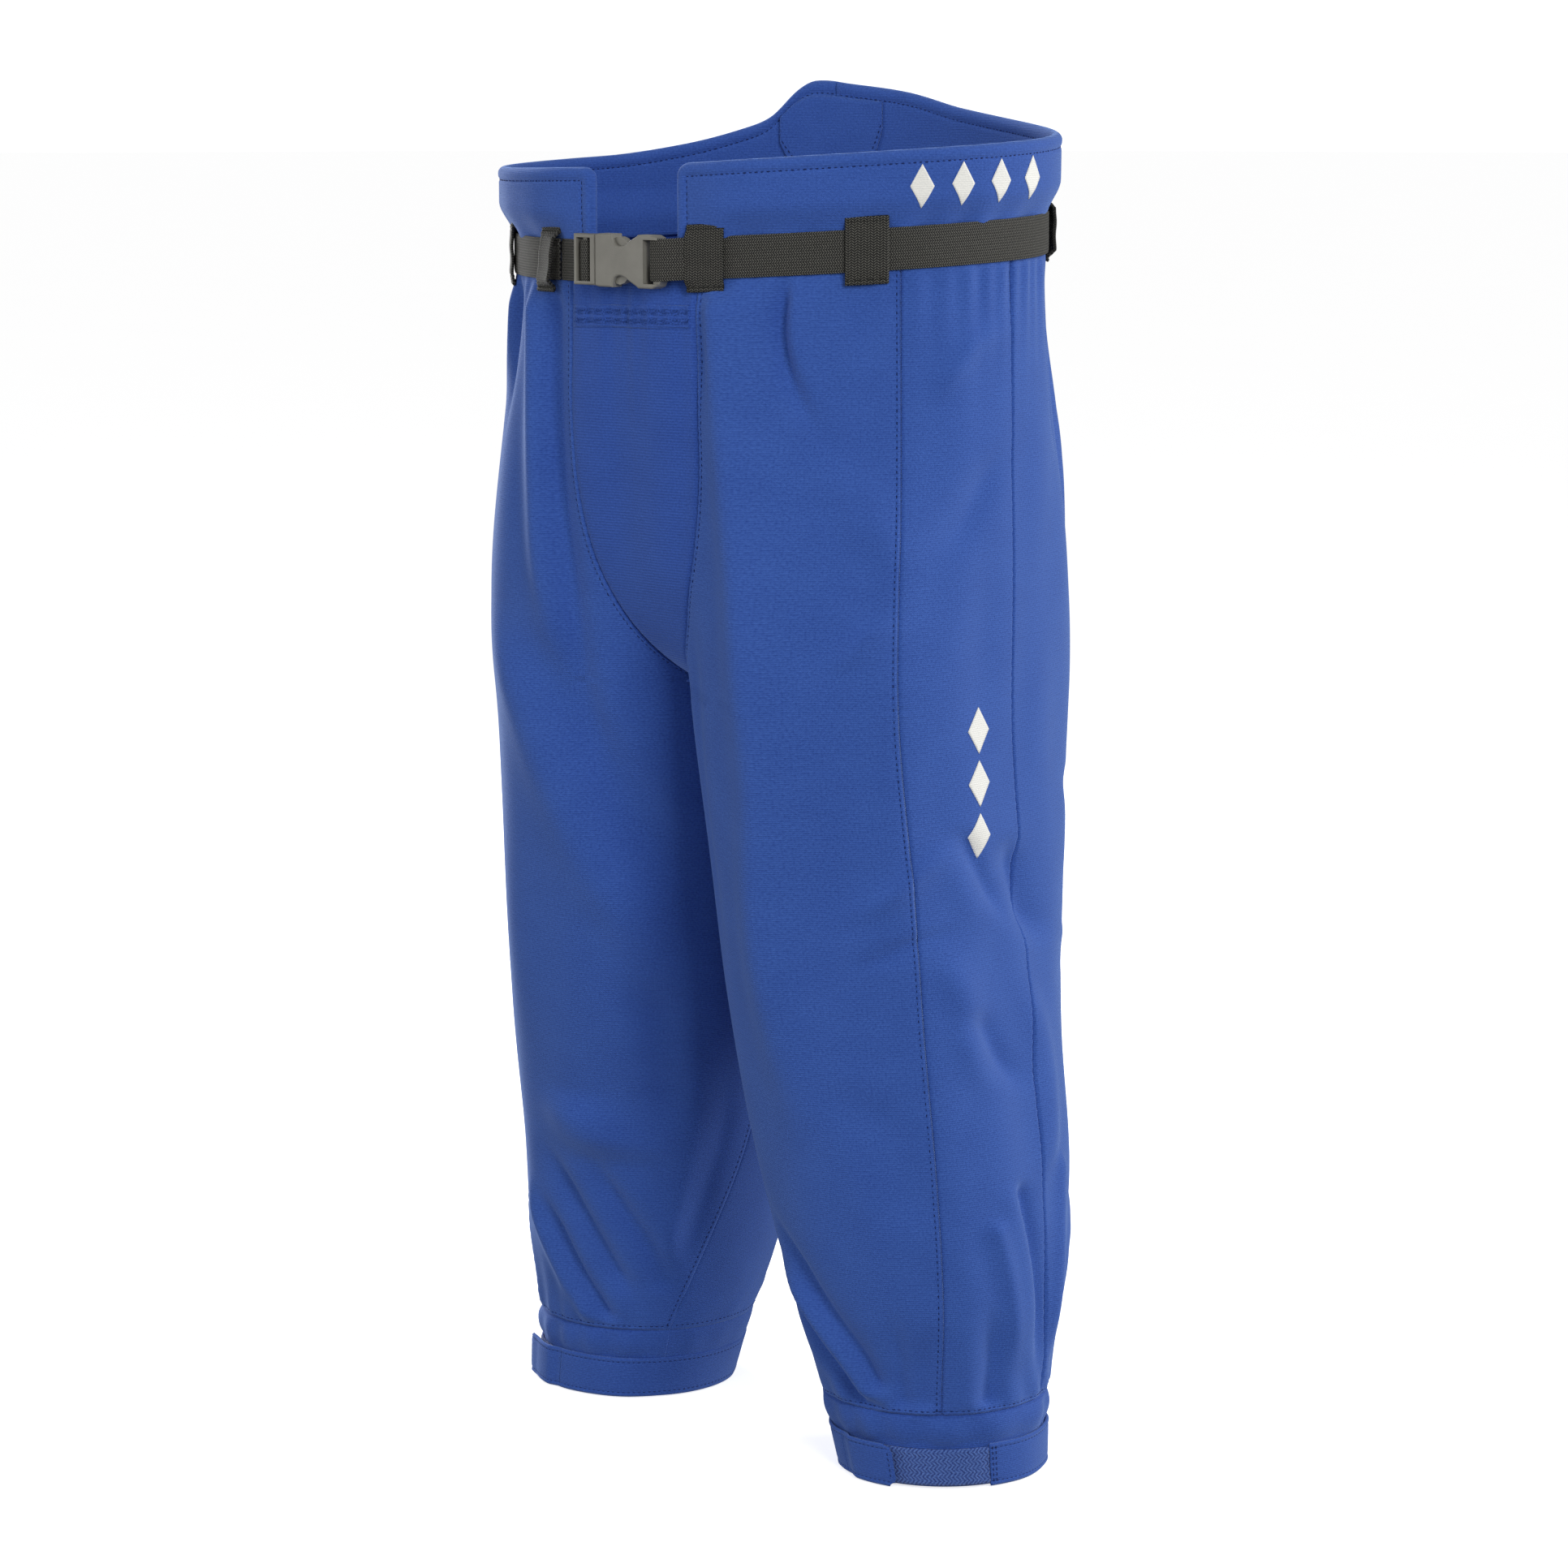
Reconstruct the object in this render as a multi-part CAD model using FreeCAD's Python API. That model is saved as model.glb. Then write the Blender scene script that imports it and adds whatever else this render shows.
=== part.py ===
import FreeCAD, Part
import math
import os

# Belted below-knee hockey pants, worn over the player's own padding.
# Millimetres.  +Z is up, the front faces -Y and the wearer's left is +X.
# Heights are counted from the lower edge of the cuffs while the pieces are
# made.  Each finished piece is then lowered by WAIST_LEVEL, which puts the
# origin at the centre of the waist, where the belt holds the pants up.

# ---- driving dimensions --------------------------------------------------
WAIST_LEVEL = 745
CROTCH = 478
CLOTH = 2.0
SEAM_GAP = 0.3
LEGS = {"left": 1, "right": -1}

# leg cross-sections: an oval of half width x half depth at each height
HEIGHTS = (0, 45, 110, 185, 300, 478, 610, 760)
LEG_CENTRE = (138, 132, 127, 116, 99, 88, 90, 90)
HALF_WIDTH = (63, 69, 79, 86, 89, 94, 94, 94)
HALF_DEPTH = (63, 69, 89, 103, 116, 133, 136, 136)
STANCE = {
    1: (-12, -12, -12, -12, -12, -12, -8, -6),
    -1: (15, 18, 23, 22, 6, 4, -4, -6),
}
INNER_WALL = 2.0

# waist oval: half width, half depth at the front, half depth at the back
WAIST = (180, 145, 120)
RIM_FLARE = 8
RIM_ANGLES = (0, 60, 125, 160, 180, 200, 212, 217, 224, 231, 244, 260, 300, 345, 360)
RIM_HEIGHTS = (797, 808, 819, 828, 837, 842, 844, 838, 821, 813, 803, 796, 793, 796, 797)
BACK_SEAM = 205
WING_EDGE = {1: 14.5, -1: -11.5}

# seams, as angles round each leg: 0 front, 90 outer side, 180 back
SEAM_HEIGHTS = (46, 185, 345, 480, 760)
SIDE_FRONT_SEAM = (42, 47, 48, 44, 42)
SIDE_BACK_SEAM = (108, 103, 103, 96, 91)
INSEAM = (-53, -79, -88, -90, -90)
GUSSET_HEIGHTS = (478, 500, 530, 565, 610, 660, 745)
GUSSET_HALF_WIDTH = (3, 16, 30, 42, 49, 51, 50)

PELVIS_BOTTOM = 486
BEND_TOP = 477
BEND_BOTTOM = 345
HEM = 46

# belt
WEBBING_WIDTH = 25
WEBBING = 1.6
BELT_STANDOFF = 0.5
BELT_LIFT = 4
LOOP_LENGTH = 40
LOOP_ANGLES = {
    "left_front": (17.8, 26.8),
    "left_side": (52.5, 61),
    "left_back": (114, 124),
    "back_centre": (175, 185),
    "right_back": (236, 246),
    "right_side": (299, 307.5),
    "right_front": (328, 336),
}

# side-release buckle
BUCKLE_SEAM_X = -16
BUCKLE_Y = -151.5
SOCKET_LENGTH = 50
BASE_LENGTH = 18
BUCKLE_HALF_HEIGHT = 16
SOCKET_HALF_DEPTH = 5
BASE_HALF_DEPTH = 4
CAVITY_HALF_HEIGHT = 13.2
CAVITY_HALF_DEPTH = 2.7
CAVITY_DEPTH = 33
EDGE_ROUND = 1.2
SLOT_HALF_HEIGHT = 13

# cuffs
CUFF_STRAP_HEIGHT = 27
CUFF_LAYER = 2.0
TAPE = 1.5
STRAP_END = {1: 65, -1: 82}
TAB_ROOT = {1: -20, -1: 12}
TAB_TIP = {1: 15, -1: 50}


# ---- curves --------------------------------------------------------------
def along(h, rows, column):
    """Smooth curve through the values in column, given at the heights in rows."""
    h = min(max(h, rows[0]), rows[-1])
    last = len(rows) - 1
    i = max(k for k in range(last) if rows[k] <= h)

    def slope(k):
        a = max(k - 1, 0)
        b = min(k + 1, last)
        return (column[b] - column[a]) / (rows[b] - rows[a])

    step = rows[i + 1] - rows[i]
    t = (h - rows[i]) / step
    ends = column[i] * (1 + 2 * t) * (1 - t) ** 2 + column[i + 1] * t * t * (3 - 2 * t)
    return ends + step * t * (1 - t) * (slope(i) * (1 - t) - slope(i + 1) * t)


def smooth(t):
    """0 below 0, 1 above 1, and an S curve between."""
    t = min(max(t, 0.0), 1.0)
    return t * t * (3 - 2 * t)


def spread(start, end, count):
    """count values from start to end."""
    return [start + (end - start) * i / (count - 1) for i in range(count)]


def direction(deg):
    """Unit vector in plan: 0 degrees is the front, 90 the wearer's left."""
    return math.sin(math.radians(deg)), -math.cos(math.radians(deg))


# ---- the body's surfaces -------------------------------------------------
def waist_radius(deg, grow=0.0):
    """Radius of the waist oval from the middle of the waist."""
    ux, uy = direction(deg)
    depth = WAIST[1] if uy < 0 else WAIST[2]
    return 1 / math.hypot(ux / WAIST[0], uy / depth) + grow


def waist_point(deg, h, grow=0.0):
    ux, uy = direction(deg)
    r = waist_radius(deg, grow)
    return FreeCAD.Vector(r * ux, r * uy, h)


def belt_height(x, y):
    """The belt sits a little higher at the back and on the left."""
    t = math.atan2(x, -y)
    return 749 - 7 * math.cos(t) + 6 * math.sin(t)


def rim_height(deg):
    return along(deg % 360, RIM_ANGLES, RIM_HEIGHTS)


def radius_to_waist(cx, cy, ux, uy):
    """Distance from (cx, cy) along (ux, uy) to the waist oval."""
    half = WAIST[0]
    depth = WAIST[1] if uy < 0 else WAIST[2]
    a = (ux / half) ** 2 + (uy / depth) ** 2
    b = 2 * (cx * ux / half ** 2 + cy * uy / depth ** 2)
    c = (cx / half) ** 2 + (cy / depth) ** 2 - 1
    return (-b + math.sqrt(b * b - 4 * a * c)) / (2 * a)


def leg_offset(side, h, deg):
    """Centre of the leg at h, and the point of its surface at deg relative to that."""
    cx = along(h, HEIGHTS, LEG_CENTRE)
    cy = along(h, HEIGHTS, STANCE[side])
    ux, uy = direction(deg)
    a = along(h, HEIGHTS, HALF_WIDTH)
    b = along(h, HEIGHTS, HALF_DEPTH)
    n = 2 + 0.3 * min(h, CROTCH) / CROTCH
    r = ((abs(ux) / a) ** n + (abs(uy) / b) ** n) ** (-1 / n)
    if h > CROTCH:
        top = WAIST_LEVEL - 150 * smooth(-ux)
        r += (radius_to_waist(cx, cy, ux, uy) - r) * smooth((h - CROTCH) / (top - CROTCH))
    return cx, cy, r * ux, r * uy


def leg_point(side, h, deg, inset=0.0):
    """Point of a leg's surface, or inset below it, towards the leg's centre."""
    cx, cy, dx, dy = leg_offset(side, h, deg)
    wall = INNER_WALL * smooth((CROTCH + 30 - h) / 30)
    if dx < wall - cx:
        scale = (wall - cx) / dx
        dx *= scale
        dy *= scale
    scale = 1 - inset / math.hypot(dx, dy)
    return FreeCAD.Vector(side * (cx + dx * scale), cy + dy * scale, h)


def angle_at_x(side, h, x, back):
    """Angle round the leg at which its surface is x from the middle plane."""
    outer, inner = (180.0, 270.0) if back else (0.0, -90.0)
    for _ in range(40):
        middle = (outer + inner) / 2
        cx, _, dx, _ = leg_offset(side, h, middle)
        if cx + dx > x:
            outer = middle
        else:
            inner = middle
    return outer


# ---- solids --------------------------------------------------------------
def grid_surface(rows):
    surface = Part.BSplineSurface()
    surface.interpolate(rows)
    return surface


def cloth_solid(outer, inner):
    """Closed solid between two grids of points that have the same layout."""
    skins = [grid_surface(outer), grid_surface(inner)]
    faces = [skin.toShape() for skin in skins]
    for end in (0, 1):
        for iso in ("uIso", "vIso"):
            edges = []
            for skin in skins:
                bounds = skin.bounds()
                value = bounds[end] if iso == "uIso" else bounds[2 + end]
                edges.append(getattr(skin, iso)(value).toShape())
            faces.append(Part.makeRuledSurface(*edges))
    shell = Part.makeShell(faces)
    shell.sewShape()
    solid = Part.makeSolid(shell)
    solid.fix(1e-4, 1e-4, 1e-4)
    return solid if solid.Volume > 0 else solid.reversed()


def trimmed(start, end, radius, gap=SEAM_GAP):
    """Angles pulled in by half a seam gap at both ends."""
    cut = math.degrees(gap / 2 / radius)
    return start + cut, end - cut


def leg_panel(side, low, high, start, end, columns, rows, skin=0.0, thick=CLOTH):
    """Panel of a leg between two seams, each a function of height.

    skin is how far the outer face lies below the leg's surface."""
    outer = []
    inner = []
    for level in spread(0, 1, rows):
        outer_row = []
        inner_row = []
        for s in spread(0, 1, columns):
            top = high
            if high >= WAIST_LEVEL:
                edge = leg_point(side, WAIST_LEVEL, start(high) + (end(high) - start(high)) * s)
                top = belt_height(edge.x, edge.y) - SEAM_GAP
            h = low + (top - low) * level
            first, last = trimmed(start(h), end(h), 100)
            deg = first + (last - first) * s
            outer_row.append(leg_point(side, h, deg, skin))
            inner_row.append(leg_point(side, h, deg, skin + thick))
        outer.append(outer_row)
        inner.append(inner_row)
    return cloth_solid(outer, inner)


def band_panel(angles, levels, height, outside, thick):
    """Panel round the waist.

    height gives the height at an angle and level, outside the distance of
    the outer face from the waist oval there."""
    outer = []
    inner = []
    for level in levels:
        outer.append([waist_point(deg, height(deg, level), outside(deg, level)) for deg in angles])
        inner.append([waist_point(deg, height(deg, level), outside(deg, level) - thick) for deg in angles])
    return cloth_solid(outer, inner)


# ---- seams ---------------------------------------------------------------
def side_front_seam(h):
    return along(h, SEAM_HEIGHTS, SIDE_FRONT_SEAM)


def side_back_seam(h):
    return along(h, SEAM_HEIGHTS, SIDE_BACK_SEAM)


def gusset_half(h):
    return along(h, GUSSET_HEIGHTS, GUSSET_HALF_WIDTH)


def inseam(turn):
    return lambda h: turn + along(h, SEAM_HEIGHTS, INSEAM)


def belt_at(deg):
    ux, uy = direction(deg)
    return belt_height(ux, uy)


# ---- pieces of the upper body --------------------------------------------
def upper_panels(name, side):
    """Front, side and back panels from the crotch up to the belt."""
    limits = {
        "front": (lambda h: angle_at_x(side, h, gusset_half(h), False), side_front_seam),
        "side": (side_front_seam, side_back_seam),
        "back": (side_back_seam, lambda h: angle_at_x(side, h, SEAM_GAP, True)),
    }
    columns = {"front": 9, "side": 6, "back": 13}
    return {
        f"{name}_hip_{part}_panel": leg_panel(side, PELVIS_BOTTOM, WAIST_LEVEL, *limits[part], columns[part], 10)
        for part in limits
    }


def gusset_point(s, h, out):
    """Point across the front gusset: s runs from -1 on the right to 1 on the left."""
    half = gusset_half(h)
    edges = {side: leg_point(side, h, angle_at_x(side, h, half, False)) for side in LEGS.values()}
    y = (edges[1].y * (1 + s) + edges[-1].y * (1 - s)) / 2
    crown = 6 * smooth((h - 600) / 100) * (1 - s * s)
    return FreeCAD.Vector(s * (half - SEAM_GAP), y - crown - out, h)


def front_gusset():
    """Tapered panel between the two legs' front panels."""
    top = belt_at(0) - 4
    grids = []
    for out in (0, -CLOTH):
        grids.append([[gusset_point(s, h, out) for s in spread(-1, 1, 7)]
                      for h in spread(PELVIS_BOTTOM + 2, top, 10)])
    return cloth_solid(*grids)


def front_elastic():
    """Gathered elastic sewn across the top of the front gusset."""
    grids = []
    for out in (1.6, 0.3):
        grids.append([[gusset_point(0.9 * s, h, out) for s in spread(-1, 1, 7)]
                      for h in spread(703, 717, 3)])
    return cloth_solid(*grids)


def crotch_gusset():
    """Saddle-shaped strip under the crotch, from the front gusset to the seat seam."""
    grids = []
    for drop in (0, CLOTH):
        rows = []
        for y in spread(-84, 50, 9):
            half = 12 - 4 * ((y + 17) / 67) ** 2
            rows.append([FreeCAD.Vector(x, y, 481.5 - drop + 1.5 * ((y + 17) / 67) ** 2 - 0.5 * (x / half) ** 2)
                         for x in spread(-half, half, 5)])
        grids.append(rows)
    return cloth_solid(*grids)


def band_height(deg, level):
    """Level 0 is the waistband's lower edge, behind the belt, and 1 its rim."""
    low = belt_at(deg)
    return low + (rim_height(deg) - low) * level


def band_flare(level):
    """The waistband stands out from the waist above the belt."""
    return RIM_FLARE * smooth((level - 0.34) / 0.36)


def waistband_half(side):
    """Outer cover, foam and lining of one half of the waistband."""
    wing = WING_EDGE[side]
    seam = BACK_SEAM if side > 0 else BACK_SEAM - 360
    layers = {"cover": (0, 2.0, 0), "foam": (2.4, 2.6, 3), "lining": (5.4, 1.6, 1)}
    solids = {}
    for layer, (depth, thick, short) in layers.items():
        angles = spread(wing + side * 0.4 * short, seam - side * (0.1 + 0.3 * short), 65)
        levels = spread(0.005 + short / 70, 1 - short / 70, 13)
        solids[layer] = band_panel(angles, levels, band_height, lambda deg, level: band_flare(level) - depth, thick)
    return solids


def back_facing():
    """Rounded facing inside the raised back of the waistband."""
    half = 16

    def height(deg, level):
        lowest = 0.2 + 0.5 * abs((deg - BACK_SEAM) / half) ** 3
        return band_height(deg, lowest + (0.93 - lowest) * level)

    def outside(deg, level):
        lowest = 0.2 + 0.5 * abs((deg - BACK_SEAM) / half) ** 3
        return band_flare(lowest + (0.93 - lowest) * level) - 8.2

    return band_panel(spread(BACK_SEAM - half, BACK_SEAM + half, 15), spread(0, 1, 9), height, outside, 1.5)


def lozenge(centre, across, up, half_long, half_wide, thick):
    """Flat printed diamond: across and up are unit vectors in its plane."""
    corners = (centre + across * half_wide, centre + up * half_long,
               centre - across * half_wide, centre - up * half_long)
    outline = Part.makePolygon([*corners, corners[0]])
    return Part.Face(outline).extrude(across.cross(up) * thick)


def waistband_print():
    """Row of diamonds on the left of the waistband."""
    level = 0.64
    marks = []
    for deg in (67, 75, 83, 91):
        centre = waist_point(deg, band_height(deg, level), RIM_FLARE + 0.6)
        across = (waist_point(deg + 2, 0) - waist_point(deg - 2, 0)).normalize()
        marks.append(lozenge(centre, across, FreeCAD.Vector(0, 0, 1), 13, 7, 0.4))
    return Part.makeCompound(marks)


def leg_print():
    """Column of diamonds down the outer side of the left leg."""
    marks = []
    for h in (400, 432, 464):
        centre = leg_point(1, h, 76, -0.9)
        across = (leg_point(1, h, 80) - leg_point(1, h, 72)).normalize()
        up = (leg_point(1, h + 8, 76) - leg_point(1, h - 8, 76)).normalize()
        marks.append(lozenge(centre, across, up, 14, 11, 0.4))
    return Part.makeCompound(marks)


# ---- belt ----------------------------------------------------------------
def lift(deg):
    """The belt leaves the waist at the front to reach the buckle."""
    ux, uy = direction(deg)
    if uy > 0:
        return 0
    return BELT_LIFT * smooth((56 - abs(waist_radius(deg) * ux)) / 20)


def belt_strip_height(width):
    return lambda deg, level: belt_at(deg) + width * (level - 0.5)


def webbing(start, end, columns):
    """Length of webbing round the waist, its points closer together near start."""
    angles = [start + (end - start) * t ** 1.6 for t in spread(0, 1, columns)]
    return band_panel(angles, spread(0, 1, 3), belt_strip_height(WEBBING_WIDTH),
                      lambda deg, level: BELT_STANDOFF + WEBBING + lift(deg), WEBBING)


def belt_loop(start, end):
    """Short webbing loop that stands over the belt, its ends sewn flat above and below."""
    def outside(deg, level):
        away = abs(level - 0.5) * LOOP_LENGTH
        return WEBBING + 0.9 + (1.9 + lift(deg)) * (1 - smooth((away - 13.4) / 4.6))

    return band_panel(spread(start, end, 4), spread(0, 1, 17), belt_strip_height(LOOP_LENGTH), outside, WEBBING)


# ---- buckle --------------------------------------------------------------
def buckle_plate(outline, half_depth):
    """Prism over an outline of (along, up) points, centred on the buckle's mid plane."""
    z = belt_at(0)
    points = [FreeCAD.Vector(BUCKLE_SEAM_X + u, BUCKLE_Y - half_depth, z + v) for u, v in outline]
    face = Part.Face(Part.makePolygon([*points, points[0]]))
    return face.extrude(FreeCAD.Vector(0, 2 * half_depth, 0))


def buckle_block(u0, u1, v0, v1, half_depth):
    return buckle_plate(((u0, v0), (u1, v0), (u1, v1), (u0, v1)), half_depth)


def front_recess(u0, u1, depth):
    """Cutter that lowers a bar's front face to the given depth, so webbing can wrap over it."""
    cutter = buckle_block(u0, u1, -SLOT_HALF_HEIGHT, SLOT_HALF_HEIGHT, 2)
    cutter.translate(FreeCAD.Vector(0, -2 - depth, 0))
    return cutter


def flat_face_edges(body, half_depth):
    """Edges that lie in the plate's front and back faces."""
    faces = (BUCKLE_Y - half_depth, BUCKLE_Y + half_depth)
    return [edge for edge in body.Edges
            if any(abs(edge.BoundBox.YMin - y) + abs(edge.BoundBox.YMax - y) < 1e-3 for y in faces)]


def side_notch(sign):
    """Cutter for the curved bite in the socket's edge where a prong's button shows."""
    z = belt_at(0)
    bite = ((13.8, 20), (14.2, 13.5), (16, 10), (19.5, 8.8), (24, 10), (29, 12.8), (34, 15.6), (37, 20))
    points = [FreeCAD.Vector(BUCKLE_SEAM_X + u, BUCKLE_Y - 10, z + sign * v) for u, v in bite]
    curve = Part.BSplineCurve()
    curve.interpolate(points)
    edges = [curve.toShape(), Part.makeLine(points[-1], points[0])]
    return Part.Face(Part.Wire(edges)).extrude(FreeCAD.Vector(0, 20, 0))


def buckle_socket():
    """Female half: hollow hourglass body, and a slot for the fixed webbing."""
    outline = ((0, 15.2), (3, 15.8), (45, 15.8), (48.5, 14.4), (50, 11.5))
    lower = tuple((u, -v) for u, v in reversed(outline))
    body = buckle_plate(outline + lower, SOCKET_HALF_DEPTH)
    for sign in (1, -1):
        body = body.cut(side_notch(sign))
    body = body.makeFillet(EDGE_ROUND, flat_face_edges(body, SOCKET_HALF_DEPTH))
    body = body.cut(buckle_block(-1, CAVITY_DEPTH, -CAVITY_HALF_HEIGHT, CAVITY_HALF_HEIGHT, CAVITY_HALF_DEPTH))
    body = body.cut(buckle_block(38.5, 44.5, -SLOT_HALF_HEIGHT, SLOT_HALF_HEIGHT, 20))
    return body.cut(front_recess(44, 51, 2.4))


def buckle_insert():
    """Male half: ladder frame with two slots for the adjustable webbing, and a guide tongue."""
    frame = buckle_block(-BASE_LENGTH, -0.4, -15.2, 15.2, BASE_HALF_DEPTH)
    frame = frame.makeFillet(EDGE_ROUND, flat_face_edges(frame, BASE_HALF_DEPTH))
    tongue = buckle_block(-1, 24, -2, 2, 1.8)
    frame = frame.fuse(tongue)
    for u0, u1 in ((-15.5, -11.5), (-8.5, -4.5)):
        frame = frame.cut(buckle_block(u0, u1, -SLOT_HALF_HEIGHT, SLOT_HALF_HEIGHT, 20))
    return frame.removeSplitter().cut(front_recess(-12, -8, 2.0))


def buckle_prong(sign):
    """Springy latch arm: a shoulder that catches the window, and a button to press."""
    outline = ((0, 6.2), (0, 9.6), (11, 10.2), (14.8, 13.7), (18, 14.2), (21.5, 13), (24, 10.6), (24.4, 8.6),
               (13, 6.8))
    return buckle_plate(tuple((u, sign * v) for u, v in outline), 2.2)


# ---- pieces of the legs --------------------------------------------------
def lower_panels(name, side):
    limits = {
        "front": (inseam(0), side_front_seam),
        "side": (side_front_seam, side_back_seam),
        "back": (side_back_seam, inseam(360)),
    }
    columns = {"front": 9, "side": 6, "back": 15}
    return {
        f"{name}_leg_{part}_panel": leg_panel(side, HEM, BEND_BOTTOM - SEAM_GAP, *limits[part], columns[part], 9)
        for part in limits
    }


def cuff_ring(side, start, end, low, high, out, thick, columns):
    """Part of a cuff: it stands out from the leg's surface by out."""
    return leg_panel(side, low, high, lambda h: start, lambda h: end, columns, 4, -out, thick)


def cuff(name, side):
    """Cuff band, the strap wrapped outside it, and the tape its tab grips."""
    strap_start = STRAP_END[side] + 1
    root = TAB_ROOT[side]
    return {
        f"{name}_cuff_band": cuff_ring(side, INSEAM[0], INSEAM[0] + 360, 0.6, HEM - SEAM_GAP, 0, CLOTH, 33),
        f"{name}_cuff_strap": cuff_ring(side, strap_start, root + 358, 0, CUFF_STRAP_HEIGHT,
                                        CUFF_LAYER + 0.3, CUFF_LAYER, 29),
        f"{name}_cuff_loop_tape": cuff_ring(side, root + 1, STRAP_END[side], 2, CUFF_STRAP_HEIGHT - 2,
                                            TAPE + 0.3, TAPE, 13),
    }


def cuff_tab(name, side):
    """Free end of the cuff strap, with the hook tape on its inner face."""
    root = TAB_ROOT[side]
    tip = TAB_TIP[side]
    level = TAPE + 0.9
    return {
        f"{name}_tab_hook_tape": cuff_ring(side, root + 3, tip - 2, 3, CUFF_STRAP_HEIGHT - 3, level + 1.0, 1.0, 7),
        f"{name}_cuff_tab": cuff_ring(side, root, tip, 0.3, CUFF_STRAP_HEIGHT, level + 1.1 + CUFF_LAYER,
                                      CUFF_LAYER, 7),
    }


# ---- the whole -----------------------------------------------------------
def pelvis_pieces():
    pieces = {
        "front_gusset": front_gusset(),
        "crotch_gusset": crotch_gusset(),
        "front_elastic": front_elastic(),
        "waistband_back_facing": back_facing(),
        "waistband_print": waistband_print(),
        "belt_webbing_left": webbing(14.7, 179.9, 33),
        "belt_webbing_right": webbing(336.9, 180.1, 33),
        "belt_webbing_front": webbing(346.2, 337.1, 5),
        "buckle_socket": buckle_socket(),
        "buckle_insert": buckle_insert(),
        "buckle_prong_upper": buckle_prong(1),
        "buckle_prong_lower": buckle_prong(-1),
    }
    for name, side in LEGS.items():
        pieces.update(upper_panels(name, side))
        for layer, solid in waistband_half(side).items():
            pieces[f"waistband_{name}_{layer}"] = solid
    for name, angles in LOOP_ANGLES.items():
        pieces[f"belt_loop_{name}"] = belt_loop(*angles)
    return pieces


def leg_pieces():
    pieces = {"left_leg_print": leg_print()}
    for name, side in LEGS.items():
        pieces[f"{name}_thigh_bend"] = leg_panel(side, BEND_BOTTOM, BEND_TOP, inseam(0), inseam(360), 57, 7)
        pieces.update(lower_panels(name, side))
        pieces.update(cuff(name, side))
        pieces.update(cuff_tab(name, side))
    return pieces


os.makedirs("parts", exist_ok=True)
for node, shape in {**pelvis_pieces(), **leg_pieces()}.items():
    shape.translate(FreeCAD.Vector(0, 0, -WAIST_LEVEL))
    shape.exportStep(f"parts/{node}.step")
    print(node, shape.ShapeType, shape.isValid(), round(shape.Volume))
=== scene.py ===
import bpy
import math
import numpy as np
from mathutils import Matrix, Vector


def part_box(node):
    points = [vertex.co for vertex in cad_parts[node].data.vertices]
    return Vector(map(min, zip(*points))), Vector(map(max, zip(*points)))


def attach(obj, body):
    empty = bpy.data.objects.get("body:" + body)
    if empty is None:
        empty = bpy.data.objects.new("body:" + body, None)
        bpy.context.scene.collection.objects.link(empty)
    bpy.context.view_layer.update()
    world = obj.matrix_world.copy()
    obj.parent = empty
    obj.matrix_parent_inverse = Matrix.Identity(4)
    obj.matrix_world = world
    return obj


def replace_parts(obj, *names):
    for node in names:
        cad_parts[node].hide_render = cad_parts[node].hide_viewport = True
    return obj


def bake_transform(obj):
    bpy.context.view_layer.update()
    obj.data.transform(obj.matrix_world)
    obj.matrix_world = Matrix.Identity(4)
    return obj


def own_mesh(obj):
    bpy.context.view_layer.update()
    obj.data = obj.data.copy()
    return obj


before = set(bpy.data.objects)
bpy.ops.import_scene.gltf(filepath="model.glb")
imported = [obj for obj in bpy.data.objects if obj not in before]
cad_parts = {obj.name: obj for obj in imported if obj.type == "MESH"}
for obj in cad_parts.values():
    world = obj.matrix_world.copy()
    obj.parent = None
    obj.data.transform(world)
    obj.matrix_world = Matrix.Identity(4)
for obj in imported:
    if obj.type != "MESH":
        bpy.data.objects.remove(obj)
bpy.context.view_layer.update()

# Belted below-knee hockey pants.  Shapes are worked out in millimetres, with
# heights counted from the cuffs' lower edge, and turned into the frame's metres
# when a mesh is made.  Angles go round the body or a leg: 0 is the front, 90 the
# outer side of a leg (the wearer's left on the waist) and 180 the back.

# ---- dimensions ----------------------------------------------------------
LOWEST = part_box("left_cuff_strap")[0].z
WAIST_LEVEL = -1000 * LOWEST
CROTCH = 478
HEM = 46
LEGS = {"left": 1, "right": -1}

HEIGHTS = (0, 45, 110, 185, 300, 478, 610, 760)
LEG_CENTRE = (138, 132, 127, 116, 99, 88, 90, 90)
HALF_WIDTH = (63, 69, 79, 86, 89, 94, 94, 94)
HALF_DEPTH = (63, 69, 89, 103, 116, 133, 136, 136)
STANCE = {
    1: (-12, -12, -12, -12, -12, -12, -8, -6),
    -1: (15, 18, 23, 22, 6, 4, -4, -6),
}
WAIST = (180, 145, 120)
RIM_ANGLES = (0, 60, 125, 160, 180, 200, 212, 217, 224, 231, 244, 260, 300, 345, 360)
RIM_HEIGHTS = (797, 808, 819, 828, 837, 842, 844, 838, 821, 813, 803, 796, 793, 796, 797)
BACK_SEAM = 205
WING_EDGE = {1: 14.5, -1: -11.5}

SEAM_HEIGHTS = (46, 185, 345, 480, 760)
SIDE_FRONT_SEAM = (42, 47, 48, 44, 42)
SIDE_BACK_SEAM = (108, 103, 103, 96, 91)
INSEAM = (-53, -79, -88, -90, -90)
GUSSET_HEIGHTS = (478, 500, 530, 565, 610, 660, 745)
GUSSET_HALF_WIDTH = (3, 16, 30, 42, 49, 51, 50)

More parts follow.
